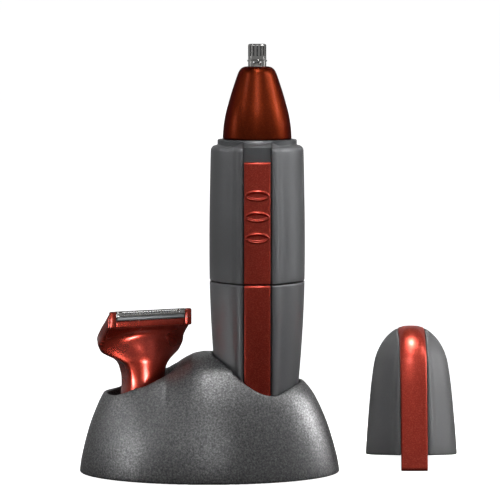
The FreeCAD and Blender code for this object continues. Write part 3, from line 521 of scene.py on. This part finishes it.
def strip_mesh(z0, z1, half, sign, nz, nx, bevel, r0, r1, relief=None, thickness=1.2):
    """A trim strip lying in the housing's outer surface, its long edges and ends rounded over."""
    xs, zs = across(half, bevel, nx), along(z0, z1, r0, r1, nz)
    outer, inner = [], []
    for z in zs:
        y = front_y(xs, z)
        d = edge_drop(half - np.abs(xs), bevel) + edge_drop(np.full_like(xs, z - z0), r0) + edge_drop(np.full_like(xs, z1 - z), r1)
        h = relief(xs, np.full_like(xs, z)) if relief is not None else 0.0
        outer.append([(TX + a, TY + sign * b, z) for a, b in zip(xs, y - np.minimum(d, thickness - 0.1) + h)])
        inner.append([(TX + a, TY + sign * b, z) for a, b in zip(xs, y - thickness)])
    return thick(outer, inner)


v, f = strip_mesh(SEAM_HIGH + 0.12, 97.2, STRIP, -1.0, 300, 66, 0.4, 0.3, 0.6, scoop_height)
slider = make_object("switch_slider_skin", v, f, True)
recalc(slider)
place(slider, "switch_slider")

v, f = strip_mesh(SEAM_HIGH + 0.02, 101.9, STRIP, 1.0, 90, 20, 0.4, 0.3, 0.9)
rear = make_object("rear_trim_strip_skin", v, f, True)
recalc(rear)
place(rear, "rear_trim_strip")

# the lower strip runs down the front, under the housing and up its rear
ROUND = ((BOTTOM, 8.6), (BOTTOM + 0.35, 10.2), (BOTTOM + 0.95, 11.4), (BOTTOM + 1.8, 12.4), (BOTTOM + 2.9, 13.1), (BOTTOM + 4.3, 13.6),
         (BOTTOM + 6.0, 13.9), (BOTTOM + 9.0, 20.0), (200, 20.0))


def lower_path(x, off):
    """Points of the strip's surface in the plane at x, from the top front round the underside to the top rear."""
    zs = np.concatenate([np.linspace(SEAM_LOW - 0.02, BOTTOM + 8, 60), np.linspace(BOTTOM + 7.6, BOTTOM + 0.35, 24)])
    lim = np.interp(zs, [p[0] for p in ROUND], [p[1] for p in ROUND])
    y = np.minimum(front_y(np.full_like(zs, x), zs), np.sqrt(np.maximum(lim ** 2 - x * x, 0)))
    flat = np.linspace(-8.2, 8.2, 14)
    ys = np.concatenate([-y, flat, y[::-1]])
    zz = np.concatenate([zs, np.full_like(flat, BOTTOM + 0.02), zs[::-1]])
    ty, tz = np.gradient(ys), np.gradient(zz)
    n = np.hypot(ty, tz)
    ny, nz = -tz / n, ty / n
    return ys + ny * off, zz + nz * off


xs = across(STRIP, 0.4, 14)
outer, inner = [], []
for x in xs:
    d = float(edge_drop(np.array([STRIP - abs(x)]), 0.4)[0])
    y1, z1 = lower_path(x, d)
    y2, z2 = lower_path(x, 1.15)
    outer.append([(TX + x, TY + a, b) for a, b in zip(y1, z1)])
    inner.append([(TX + x, TY + a, b) for a, b in zip(y2, z2)])
v, f = thick(outer, inner)
low = make_object("lower_trim_strip_skin", v, f, True)
recalc(low)
place(low, "lower_trim_strip")

# ------------------------------------------------------------------ nose head cone
cone_profile = [(10.6, 103.6), (10.55, 104.6), (10.45, 106.2), (10.25, 108.1), (9.95, 110.0), (9.55, 111.9), (9.08, 113.7), (8.55, 115.5),
                (8.0, 117.4), (7.4, 119.3), (6.8, 121.1), (6.15, 123.0), (5.65, 124.2), (5.05, 125.05), (4.2, 125.62), (3.3, 125.8)]


def dense(points, n):
    """Evenly spaced points on a smooth curve through the given ones."""
    p = np.array(points, float)
    t = np.concatenate([[0], np.cumsum(np.hypot(*np.diff(p, axis=0).T))])
    s0, s1 = natural_cubic(t, p[:, 0]), natural_cubic(t, p[:, 1])
    u = np.linspace(0, t[-1], n)
    return list(zip(cubic(s0, u), cubic(s1, u)))


outer = dense(cone_profile, 90)
inside = [(max(r - 1.25, 3.12), z) for r, z in outer if z < 124.0][::-4]
profile = [(9.3, 103.75), (9.45, 103.62), (10.25, 103.62), (10.45, 103.68), (10.56, 103.85)] + [q for q in outer if q[1] > 103.98]
profile += [(3.18, 125.72), (3.12, 125.5), (3.12, 124.2)] + inside
v, f = lathe("cone", profile, (TX, TY), 160)
n = len(profile)
f += [((n - 1) * 160 + k, (n - 1) * 160 + (k + 1) % 160, (k + 1) % 160, k) for k in range(160)]
cone = make_object("nose_head_cone_skin", v, f, True)
recalc(cone)
cone.data.set_sharp_from_angle(angle=math.radians(50))
place(cone, "nose_head_cone")

# ------------------------------------------------------------------ cap, in its own frame: rim at height 0, front -Y
cap_lo, cap_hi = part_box("cap_shell")
CX = (cap_lo.x + cap_hi.x) / 2 / MM
CAP_SIDE = natural_cubic([h for h, _ in RC], [r for _, r in RC])
_rc = dense([(r, h) for h, r in RC], 400)
CAP_R = np.array([p[0] for p in _rc])
CAP_HT = np.array([p[1] for p in _rc])
CAP_TOP = 40.9


def cap_radius(k, deg, inset=0.0):
    """Radius and height of the cap's surface at place k along its side curve and an angle from the front, inset under it."""
    r = np.interp(k, np.arange(400), CAP_R)
    h = np.interp(k, np.arange(400), CAP_HT)
    k0, k1 = max(k - 1, 0), min(k + 1, 399)
    dr = np.interp(k1, np.arange(400), CAP_R) - np.interp(k0, np.arange(400), CAP_R)
    dh = np.interp(k1, np.arange(400), CAP_HT) - np.interp(k0, np.arange(400), CAP_HT)
    n = math.hypot(dr, dh)
    r, h = r - inset * dh / n, h + inset * dr / n
    bulge = SPINE_A * (1.0 if h < 22 else max(0.0, math.cos((h - 22) / (CAP_TOP - 22) * math.pi / 2)) ** 0.7)
    return max(r, 0.6) + min(bulge, r * 0.5) * spine_bulge(deg), h


def cap_side(half, inset_in):
    """One side of the cap's shell, from the front groove to the rear one."""
    outer, inner = [], []
    ks = [k for k in range(400) if CAP_HT[k] >= 0.0 and cap_radius(k, np.array([90.0]))[0][0] > half + 0.06]
    keep = ks[:3] + ks[3::5] + [ks[-1]]
    for k in sorted(set(keep)):
        deg = half_ring(lambda t: cap_radius(k, t)[0], half)
        r, h = cap_radius(k, deg)
        x = r * np.sin(np.radians(deg))
        drop = edge_drop(np.abs(x) - half, 0.7)
        rim = float(edge_drop(np.array([h]), 0.6)[0])
        crown = (r - drop - rim, h)
        r2, h2 = cap_radius(k, deg, inset_in)
        if h2 < 0.01:
            h2 = 0.01
        for store, rr, hh in ((outer, crown[0], h), (inner, np.minimum(r2, crown[0] - 0.3), h2)):
            px = np.maximum(rr * np.sin(np.radians(deg)), half)
            store.append([(a, b, hh) for a, b in zip(px, -rr * np.cos(np.radians(deg)))])
    return np.array(outer), np.array(inner)


def cap_arch(x, inset, h_front, h_rear, n=170):
    """The cap's surface in the plane at x, from its front edge over the crown to its rear edge."""
    hc = 24.0
    out = []

    def reach(dy, dh):
        a, b = 0.0, 40.0
        for _ in range(34):
            m = (a + b) / 2
            y, h = dy * m, hc_now + dh * m
            if inside_cap(x, y, h, inset):
                a = m
            else:
                b = m
        return dy * a, hc_now + dh * a

    lower = np.linspace(h_front, hc, 60)
    for h in lower[:-1]:
        hc_now = h
        out.append(reach(-1.0, 0.0))
    hc_now = hc
    for a in np.linspace(0, math.pi, n):
        out.append(reach(-math.cos(a), math.sin(a)))
    for h in np.linspace(hc, h_rear, 50)[1:]:
        hc_now = h
        out.append(reach(1.0, 0.0))
    return out


_hs = np.linspace(-6.0, 41.0, 900)
_ro = np.interp(_hs, CAP_HT, CAP_R, right=0.0)


def inside_cap(x, y, h, inset):
    """Whether a point lies within the cap's outside, moved in by inset."""
    if h > CAP_TOP:
        return False
    r = float(np.interp(h, _hs, _ro)) if h < 40.8 else 2.2 * math.sqrt(max(0.0, (CAP_TOP + 0.02 - h) / 0.12))
    bulge = SPINE_A * (1.0 if h < 22 else max(0.0, math.cos((h - 22) / (CAP_TOP - 22) * math.pi / 2)) ** 0.7)
    deg = math.degrees(math.atan2(abs(x), -y if y < 0 else y))
    s = 1 / (1 + math.exp((deg - 26.0) / 2.6))
    return math.hypot(x, y) < r + min(bulge, r * 0.5) * s


def offset_path(path, d):
    """Moves a path in the YZ plane inwards by d."""
    p = np.array(path)
    t = np.gradient(p, axis=0)
    n = np.hypot(t[:, 0], t[:, 1])
    n[n == 0] = 1
    normal = np.stack([t[:, 1] / n, -t[:, 0] / n], axis=1)
    return p + normal * d


def stand_cap(pts):
    """Leans the cap back about its rim and sets it down."""
    p = np.asarray(pts, float)
    a = -CAP_LEAN
    y = p[..., 1] * math.cos(a) - p[..., 2] * math.sin(a)
    z = p[..., 1] * math.sin(a) + p[..., 2] * math.cos(a)
    return np.stack([p[..., 0] + CX, y + CAP_Y, z + CAP_DROP], axis=-1)


CAP_Y, CAP_DROP = 15.7, 0.0
side_outer, side_inner = cap_side(4.3, 2.3)
# settle the built cap onto the CAD one, by its back and by its highest point
CAP_Y = 0.0
flat = stand_cap(side_outer)
flat[..., 0] -= CX
CAP_Y = cap_hi.y / MM - float(flat[..., 1].max())
CAP_DROP = cap_hi.z / MM - float(stand_cap(side_outer)[..., 2].max())


def cap_piece(outer, inner):
    v, f = thick(stand_cap(outer), stand_cap(inner))
    return v, f


flip_x = np.array([-1.0, 1.0, 1.0])
parts = [cap_piece(side_outer, side_inner), cap_piece(side_outer * flip_x, side_inner * flip_x)]
# the groove's floor, which joins the two sides under the strip
xs = np.linspace(-4.35, 4.35, 15)
outer, inner = [], []
for x in xs:
    path = cap_arch(x, 0.0, 0.3, 0.3, 90)
    outer.append([(x, a, b) for a, b in offset_path(path, 1.25)])
    inner.append([(x, a, b) for a, b in offset_path(path, 2.3)])
parts.append(cap_piece(outer, inner))
cap = join("cap_shell_skin", parts)
recalc(cap)
cap.data.set_sharp_from_angle(angle=math.radians(50))
place(cap, "cap_shell")

xs = across(4.15, 0.45, 18)
outer, inner = [], []
for x in xs:
    path = cap_arch(x, 0.0, -4.75, 0.05)
    d = float(edge_drop(np.array([4.15 - abs(x)]), 0.45)[0])
    arc = np.concatenate([[0], np.cumsum(np.hypot(*np.diff(np.array(path), axis=0).T))])
    ends = edge_drop(arc, 0.5) + edge_drop(arc[-1] - arc, 0.4)
    top = offset_path(path, 0.0)
    base = offset_path(path, 1.1)
    q = np.clip((-0.1 + d + ends), -0.12, 1.0)[:, None]
    outer.append([(x, a, b) for a, b in top + (base - top) / 1.1 * q])
    inner.append([(x, a, b) for a, b in base])
v, f = cap_piece(outer, inner)
strip = make_object("cap_trim_strip_skin", v, f, True)
recalc(strip)
place(strip, "cap_trim_strip")


# ------------------------------------------------------------------ remeshed parts: soft rims and blended joins
def softened(node, name, voxel, passes, factor=0.5):
    """A copy of a CAD part rebuilt from small cells and relaxed, so that its rims and inner corners come out round."""
    src = NODES[node]
    me = src.data.copy()
    o = bpy.data.objects.new(name, me)
    bpy.context.scene.collection.objects.link(o)
    bm = bmesh.new()
    bm.from_mesh(me)
    bmesh.ops.remove_doubles(bm, verts=bm.verts, dist=1e-6)
    bm.to_mesh(me)
    bm.free()
    r = o.modifiers.new("cells", "REMESH")
    r.mode = "VOXEL"
    r.voxel_size = voxel * MM
    r.use_smooth_shade = True
    sm = o.modifiers.new("relax", "SMOOTH")
    sm.iterations = passes
    sm.factor = factor
    dg = bpy.context.evaluated_depsgraph_get()
    done = bpy.data.meshes.new_from_object(o.evaluated_get(dg))
    o.modifiers.clear()
    o.data = done
    done.polygons.foreach_set("use_smooth", [True] * len(done.polygons))
    return o


stand = softened("stand_shell", "stand_shell_skin", 0.42, 5)
# the saddle between the left pocket and the trimmer dips a little lower than the plain solid's
co = np.empty(len(stand.data.vertices) * 3)
stand.data.vertices.foreach_get("co", co)
co = co.reshape(-1, 3)
xs = [-26.0, -22.5, -19.5, -16.0, -13.0, -10.0, -7.5, -5.0, -2.0]
dip = np.interp(co[:, 0] / MM, xs, [0.0, 0.3, 1.6, 2.5, 3.2, 2.9, 1.6, 0.5, 0.0])
high = np.clip((co[:, 2] / MM - 12.0) / 14.0, 0.0, 1.0)
co[:, 2] -= dip * high * high * (3 - 2 * high) * MM
stand.data.vertices.foreach_set("co", co.ravel())
stand.data.update()
place(stand, "stand_shell")
# ------------------------------------------------------------------ shaver head, in its own frame: base centre, front -Y
def smin(a, b, k):
    """Smooth union of two distance fields with a fillet about k wide."""
    h = np.clip(0.5 + 0.5 * (b - a) / k, 0, 1)
    return b + (a - b) * h - k * h * (1 - h)


def smax(a, b, k):
    return -smin(-a, -b, k)


def poly_distance(px, py, poly):
    """Signed distance to a polygon, negative inside."""
    poly = np.asarray(poly, float)
    d = np.full(px.shape, 1e9)
    sign = np.ones(px.shape)
    n = len(poly)
    for i in range(n):
        x0, y0 = poly[i]
        x1, y1 = poly[i - 1]
        ex, ey = x1 - x0, y1 - y0
        wx, wy = px - x0, py - y0
        t = np.clip((wx * ex + wy * ey) / (ex * ex + ey * ey), 0, 1)
        d = np.minimum(d, (wx - ex * t) ** 2 + (wy - ey * t) ** 2)
        c1, c2, c3 = py >= y0, py < y1, ex * wy > ey * wx
        flip = (c1 & c2 & c3) | (~c1 & ~c2 & ~c3)
        sign = np.where(flip, -sign, sign)
    return sign * np.sqrt(d)


def box_distance(x, y, z, c, h):
    qx, qy, qz = np.abs(x - c[0]) - h[0], np.abs(y - c[1]) - h[1], np.abs(z - c[2]) - h[2]
    return np.sqrt(np.maximum(qx, 0) ** 2 + np.maximum(qy, 0) ** 2 + np.maximum(qz, 0) ** 2) + np.minimum(np.maximum(qx, np.maximum(qy, qz)), 0)


def surface_nets(field, lo, step):
    """Quads over the zero surface of a sampled field, one vertex in each cell that the surface crosses."""
    f = field
    inside = f < 0
    nx, ny, nz = f.shape
    acc = np.zeros((nx - 1, ny - 1, nz - 1, 3))
    cnt = np.zeros((nx - 1, ny - 1, nz - 1))
    corner = [(i, j, k) for i in (0, 1) for j in (0, 1) for k in (0, 1)]
    for a in corner:
        for ax in range(3):
            if a[ax]:
                continue
            b = list(a)
            b[ax] = 1
            fa = f[a[0]:nx - 1 + a[0], a[1]:ny - 1 + a[1], a[2]:nz - 1 + a[2]]
            fb = f[b[0]:nx - 1 + b[0], b[1]:ny - 1 + b[1], b[2]:nz - 1 + b[2]]
            cross = (fa < 0) != (fb < 0)
            t = np.where(cross, fa / np.where(cross, fa - fb, 1), 0)
            for m in range(3):
                acc[..., m] += np.where(cross, a[m] + (t if m == ax else 0), 0)
            cnt += cross
    used = cnt > 0
    index = -np.ones(cnt.shape, int)
    index[used] = np.arange(int(used.sum()))
    cells = np.argwhere(used)
    verts = (cells + acc[used] / cnt[used][:, None]) * step + np.asarray(lo)
    faces = []
    for ax in range(3):
        o = [m for m in range(3) if m != ax]
        sl_a = [slice(None)] * 3
        sl_b = [slice(None)] * 3
        sl_a[ax], sl_b[ax] = slice(0, -1), slice(1, None)
        a, b = inside[tuple(sl_a)], inside[tuple(sl_b)]
        edge = np.argwhere(a != b)
        for e in edge[(edge[:, o[0]] > 0) & (edge[:, o[1]] > 0) & (edge[:, o[0]] < f.shape[o[0]] - 1) & (edge[:, o[1]] < f.shape[o[1]] - 1)]:
            q = []
            for d0, d1 in ((0, 0), (-1, 0), (-1, -1), (0, -1)):
                c = e.copy()
                c[o[0]] += d0
                c[o[1]] += d1
                q.append(index[tuple(c)])
            if inside[tuple(e)] != (ax == 1):
                q = q[::-1]
            faces.append(q)
    return verts, faces


SLAB = [(-5.4, 40.6), (-5.4, 35.9), (-0.7, 32.3), (2.4, 29.4), (4.6, 28.6), (6.1, 29.2), (6.75, 30.6), (6.5, 31.8)]
OUTLINE = [(-13.5, 45), (-13.5, 36.0), (-13.35, 33.5), (-12.9, 31.0), (-12.3, 29.3), (-11.4, 28.0), (-10.0, 27.2), (10.0, 27.2),
           (11.4, 28.0), (12.3, 29.3), (12.9, 31.0), (13.35, 33.5), (13.5, 36.0), (13.5, 45)]
STEM = natural_cubic([0.0, 3.6, 5.2, 7.2, 9.6, 12.2, 15.0, 18.0, 21.0, 24.0, 27.0, 30.0], [10.75, 10.75, 10.6, 10.0, 9.0, 7.9, 7.15, 6.75, 6.6, 6.6, 6.7, 6.8])


def shaver_field(x, y, z):
    r = np.hypot(x, y)
    # the stem, its top a rounded shoulder
    crown = cubic(STEM, 24.6)
    stem = np.where(z > 24.6, (np.sqrt((r / crown) ** 2 + ((z - 24.6) / 5.9) ** 2) - 1) * 6.0, r - cubic(STEM, np.clip(z, 0, 24.6)))
    stem = smax(stem, -z, 0.5)
    # the plate: a slanted slab, widening to its full width
    slab = smax(poly_distance(y, z, SLAB), poly_distance(x, z, OUTLINE), 0.5)
    # the plate's root, drawn out towards the stem
    w = np.interp(z, [20.0, 23.0, 24.6, 26.0, 27.2, 28.6, 30.5], [3.0, 5.6, 7.6, 9.8, 11.4, 12.3, 12.8])
    root = (np.sqrt((x / w) ** 2 + ((y - 3.0) / 3.3) ** 2) - 1) * 3.0
    root = smax(smax(root, z - 31.5, 2.0), 20.0 - z, 2.0)
    # a shallow belly that fills the corner between the stem's front and the plate
    belly = (np.sqrt((x / 10.4) ** 2 + ((y - 0.8) / 5.2) ** 2 + ((z - 29.0) / 8.0) ** 2) - 1) * 5.2
    out = smin(slab, root, 2.0)
    out = smin(out, belly, 3.5)
    out = smin(out, stem, 4.4)
    # its outline from the front: a straight stem that turns out sharply under the plate
    flank = np.interp(z, [12.0, 13.0, 14.0, 15.0, 16.0, 17.0, 18.0, 21.0, 23.0, 24.2, 25.2, 26.2, 27.4, 29.5, 31.0], [12.0, 8.2, 7.5, 7.0, 6.6, 6.3, 6.15, 6.05, 6.3, 7.0, 8.2, 10.4, 12.9, 14.0, 16.0])
    out = smax(out, np.abs(x) - flank, 0.8)
    # hollows: base socket and bore, blade opening
    bore = smax(r - np.where(z < 4.6, 8.85, 5.15), z - 24.0, 0.3)
    out = smax(out, -bore, 0.3)
    out = smax(out, -box_distance(x, y, z, (0, -5.3, 40.7), (11.5, 1.75, 3.3)), 0.3)
    return out


step = 0.3
glo = np.array([-14.4, -11.7, -0.9])
shape = (97, 79, 142)
gx, gy, gz = np.meshgrid(*[glo[i] + step * np.arange(shape[i]) for i in range(3)], indexing="ij")
v, f = surface_nets(shaver_field(gx, gy, gz), glo, step)


def in_pocket(p):
    """From the shaver head's own frame to its place in the stand."""
    p = np.asarray(p, float)
    c, s = math.cos(SHAVER_YAW), math.sin(SHAVER_YAW)
    return np.stack([SX + p[..., 0] * c - p[..., 1] * s, SY + p[..., 0] * s + p[..., 1] * c, SHAVER_Z + p[..., 2]], axis=-1)


body = make_object("shaver_body_skin", in_pocket(v), f, True)
recalc(body)
sm = body.modifiers.new("relax", "SMOOTH")
sm.iterations = 8
sm.factor = 0.5
dg = bpy.context.evaluated_depsgraph_get()
done = bpy.data.meshes.new_from_object(body.evaluated_get(dg))
body.modifiers.clear()
body.data = done
place(body, "shaver_body")


def rounded_bar(lo, hi, r, n=5):
    """A box from lo to hi with its edges rounded, as points and faces."""
    lo, hi = np.asarray(lo, float), np.asarray(hi, float)
    c, h = (lo + hi) / 2, (hi - lo) / 2 - r
    m = bmesh.new()
    bmesh.ops.create_cube(m, size=2.0)
    bmesh.ops.scale(m, vec=Vector(h + r), verts=m.verts)
    bmesh.ops.bevel(m, geom=list(m.edges), offset=r, segments=n, profile=0.5, affect="EDGES")
    m.verts.ensure_lookup_table()
    pts = [tuple(np.array(v.co) + c) for v in m.verts]
    fs = [tuple(v.index for v in f.verts) for f in m.faces]
    m.free()
    return pts, fs


# end blocks and sill of the foil frame
parts = []
for sgn in (-1, 1):
    parts.append(rounded_bar((min(sgn * 11.35, sgn * 13.45), -7.02, 36.0), (max(sgn * 11.35, sgn * 13.45), -5.42, 41.15), 0.5))
parts.append(rounded_bar((-11.55, -6.85, 36.15), (11.55, -5.42, 38.2), 0.38))
frame_piece = join("foil_frame_skin", [(in_pocket(p), q) for p, q in parts])
recalc(frame_piece)
frame_piece.data.set_sharp_from_angle(angle=math.radians(40))
place(frame_piece, "foil_frame")

# the foil: a curved sheet pierced by staggered slots
FOIL = [(-6.95, 39.4), (-6.95, 40.1), (-6.93, 40.55), (-6.8, 40.9), (-6.5, 41.13), (-6.1, 41.2), (-5.6, 41.15), (-4.7, 40.75), (-3.7, 40.05)]


def foil_point(u):
    p = np.array(FOIL)
    t = np.concatenate([[0], np.cumsum(np.hypot(*np.diff(p, axis=0).T))])
    return np.interp(u, t, p[:, 0]), np.interp(u, t, p[:, 1])


FOIL_LEN = float(np.sum(np.hypot(*np.diff(np.array(FOIL), axis=0).T)))
sheet_v, sheet_f = [], []
px_, pu = 0.86, 0.62
nx_, nu = int(22.6 / px_), int(FOIL_LEN / pu)
px_, pu = 22.6 / nx_, FOIL_LEN / nu
for a in range(nx_):
    for b in range(nu):
        x0, u0 = -11.3 + a * px_, b * pu
        cx, cu = x0 + px_ / 2, u0 + pu / 2
        edge = b in (0, nu - 1) or a in (0, 1, nx_ - 2, nx_ - 1)
        lean = 0.1
        ring_o = [(x0, u0), (cx, u0), (x0 + px_, u0), (x0 + px_, cu), (x0 + px_, u0 + pu), (cx, u0 + pu), (x0, u0 + pu), (x0, cu)]
        hx, hu = 0.29, 0.23
        ring_i = [(cx - hx - lean, cu - hu), (cx - lean, cu - hu), (cx + hx - lean, cu - hu), (cx + hx, cu), (cx + hx + lean, cu + hu), (cx + lean, cu + hu),
                  (cx - hx + lean, cu + hu), (cx - hx, cu)]
        base = len(sheet_v)
        for xx, uu in ring_o + ring_i:
            yy, zz = foil_point(uu)
            sheet_v.append((xx, yy, zz))
        if edge:
            sheet_f.append(tuple(base + k for k in range(8)))
        else:
            for k in range(8):
                sheet_f.append((base + k, base + (k + 1) % 8, base + 8 + (k + 1) % 8, base + 8 + k))
foil = make_object("shaver_foil_skin", in_pocket(sheet_v), sheet_f, True)
recalc(foil)
so = foil.modifiers.new("gauge", "SOLIDIFY")
so.thickness = 0.1 * MM
so.offset = -1
place(foil, "shaver_foil")


# ------------------------------------------------------------------ stage, light, camera
bpy.ops.mesh.primitive_plane_add(size=6.0, location=(0, 1.0, 0))
floor = bpy.context.object
floor.name = "floor"
fm, fnt, fb = new_mat("floor_white")
fb.inputs["Base Color"].default_value = (0.86, 0.86, 0.86, 1)
fb.inputs["Roughness"].default_value = 0.9
fb.inputs["Emission Color"].default_value = (1, 1, 1, 1)
fb.inputs["Emission Strength"].default_value = 1.0
floor.data.materials.append(fm)
floor.visible_glossy = False
floor.visible_shadow = False
floor.visible_diffuse = False

bpy.ops.mesh.primitive_plane_add(size=8.0, location=(0, 3.9, 0), rotation=(math.radians(90), 0, 0))
wall = bpy.context.object
wall.name = "backdrop"
wm, wnt, wb = new_mat("backdrop_white")
wb.inputs["Base Color"].default_value = (0.0, 0.0, 0.0, 1)
wb.inputs["Emission Color"].default_value = (1, 1, 1, 1)
wb.inputs["Emission Strength"].default_value = 1.0
wall.data.materials.append(wm)
wall.visible_glossy = False
wall.visible_diffuse = False
wall.visible_shadow = False

world = bpy.data.worlds.new("studio")
bpy.context.scene.world = world
world.use_nodes = True
wn = world.node_tree
wtc = wn.nodes.new("ShaderNodeTexCoord")
wsep = wn.nodes.new("ShaderNodeSeparateXYZ")
wn.links.new(wtc.outputs["Generated"], wsep.inputs["Vector"])
wmap = wn.nodes.new("ShaderNodeMapRange")
wmap.inputs["From Min"].default_value = -1.0
wmap.inputs["From Max"].default_value = 1.0
wn.links.new(wsep.outputs["Z"], wmap.inputs["Value"])
wr = wn.nodes.new("ShaderNodeValToRGB")
els = wr.color_ramp.elements
SKY = [(-1.0, 0.03), (-0.42, 0.04), (-0.25, 0.07), (-0.1, 0.2), (0.0, 0.36), (0.33, 0.36), (0.52, 0.55), (0.64, 0.5), (0.78, 0.09), (1.0, 0.06)]
while len(els) < len(SKY):
    els.new(0.5)
for e, (p, c) in zip(els, SKY):
    e.position = (p + 1) / 2
    e.color = (c, c, c, 1)
wn.links.new(wmap.outputs["Result"], wr.inputs["Fac"])
wn.links.new(wr.outputs["Color"], wn.nodes["Background"].inputs["Color"])
wn.nodes["Background"].inputs["Strength"].default_value = 1.0


def area(name, loc, target, size, power, size_y=None, spread=180.0):
    d = bpy.data.lights.new(name, "AREA")
    d.energy = power
    d.shape = "RECTANGLE" if size_y else "SQUARE"
    d.size = size
    if size_y:
        d.size_y = size_y
    d.spread = math.radians(spread)
    o = bpy.data.objects.new(name, d)
    o.location = loc
    o.rotation_mode = "QUATERNION"
    o.rotation_quaternion = (Vector(target) - Vector(loc)).to_track_quat("-Z", "Y")
    o.visible_camera = False
    bpy.context.scene.collection.objects.link(o)
    return o


def around(azimuth, elevation, distance, centre=(0.005, 0.0, 0.05)):
    """A place round the object: azimuth 0 is in front of it and 90 on its right."""
    a, e = math.radians(azimuth), math.radians(elevation)
    return Vector(centre) + distance * Vector((math.sin(a) * math.cos(e), -math.cos(a) * math.cos(e), math.sin(e)))


MID = (0.005, 0.0, 0.05)
# softboxes: either side, high on the right, a weak one in front
area("side_right", around(85, 22, 0.4), (0.005, 0.0, 0.0), 0.09, 0.03, spread=80)
area("side_left", around(-85, 18, 0.4), MID, 0.09, 0.10)
area("high_right", around(70, 45, 0.4), MID, 0.09, 0.24)
area("front", around(2, 40, 0.4), MID, 0.09, 0.25)
# gridded ones beamed low across the stand from both sides
area("low_right", around(97, 11, 0.4), (0.02, -0.01, 0.0), 0.15, 0.032, size_y=0.09, spread=30)
area("body_right", around(92, -2, 0.4, (0.02, -0.01, 0.077)), (0.02, -0.01, 0.077), 0.10, 0.0007, size_y=0.12, spread=12)
area("cone_right", around(84, 23, 0.3, (0.0195, -0.005, 0.117)), (0.0195, -0.005, 0.117), 0.05, 0.0046, size_y=0.09, spread=20)
area("cone_left", around(-60, 32, 0.3, (0.0115, -0.005, 0.121)), (0.0115, -0.005, 0.121), 0.10, 0.0014, size_y=0.05, spread=16)
area("cap_left", around(-112, 12, 0.3, (0.054, 0.012, 0.02)), (0.054, 0.012, 0.02), 0.05, 0.0008, size_y=0.08, spread=14)
# from above at the cap, the spare head and the switch
area("over_cap", around(0, 81, 0.4, (0.064, 0.012, 0.035)), (0.064, 0.012, 0.035), 0.07, 0.022, size_y=0.10, spread=16)
area("over_shaver", around(0, 70, 0.4, (-0.022, 0.0, 0.04)), (-0.022, 0.0, 0.045), 0.06, 0.0024, spread=16)
area("over_switch", around(0, 62, 0.4, (0.01475, -0.01, 0.085)), (0.01475, -0.01, 0.085), 0.07, 0.006, spread=16)
# a pair of strip lights on the spare head's stem
STEM_AT = (-0.0215, -0.006, 0.033)
area("stem_left", around(-50, -9, 0.08, STEM_AT), STEM_AT, 0.030, 0.0040, size_y=0.04, spread=26)
area("stem_right", around(18, -6, 0.08, STEM_AT), STEM_AT, 0.032, 0.0036, size_y=0.04, spread=26)

cam_data = bpy.data.cameras.new("camera")
cam = bpy.data.objects.new("camera", cam_data)
cam.location = (0.01255, -0.728, 0.136)
cam.rotation_euler = (math.radians(90 - 5.235), 0, 0)
cam_data.lens = 170.57
cam_data.sensor_width = 36.0
cam_data.clip_start = 0.01
cam_data.clip_end = 20
bpy.context.scene.collection.objects.link(cam)
bpy.context.scene.camera = cam
bpy.context.scene.view_settings.view_transform = "Standard"

bpy.context.view_layer.update()
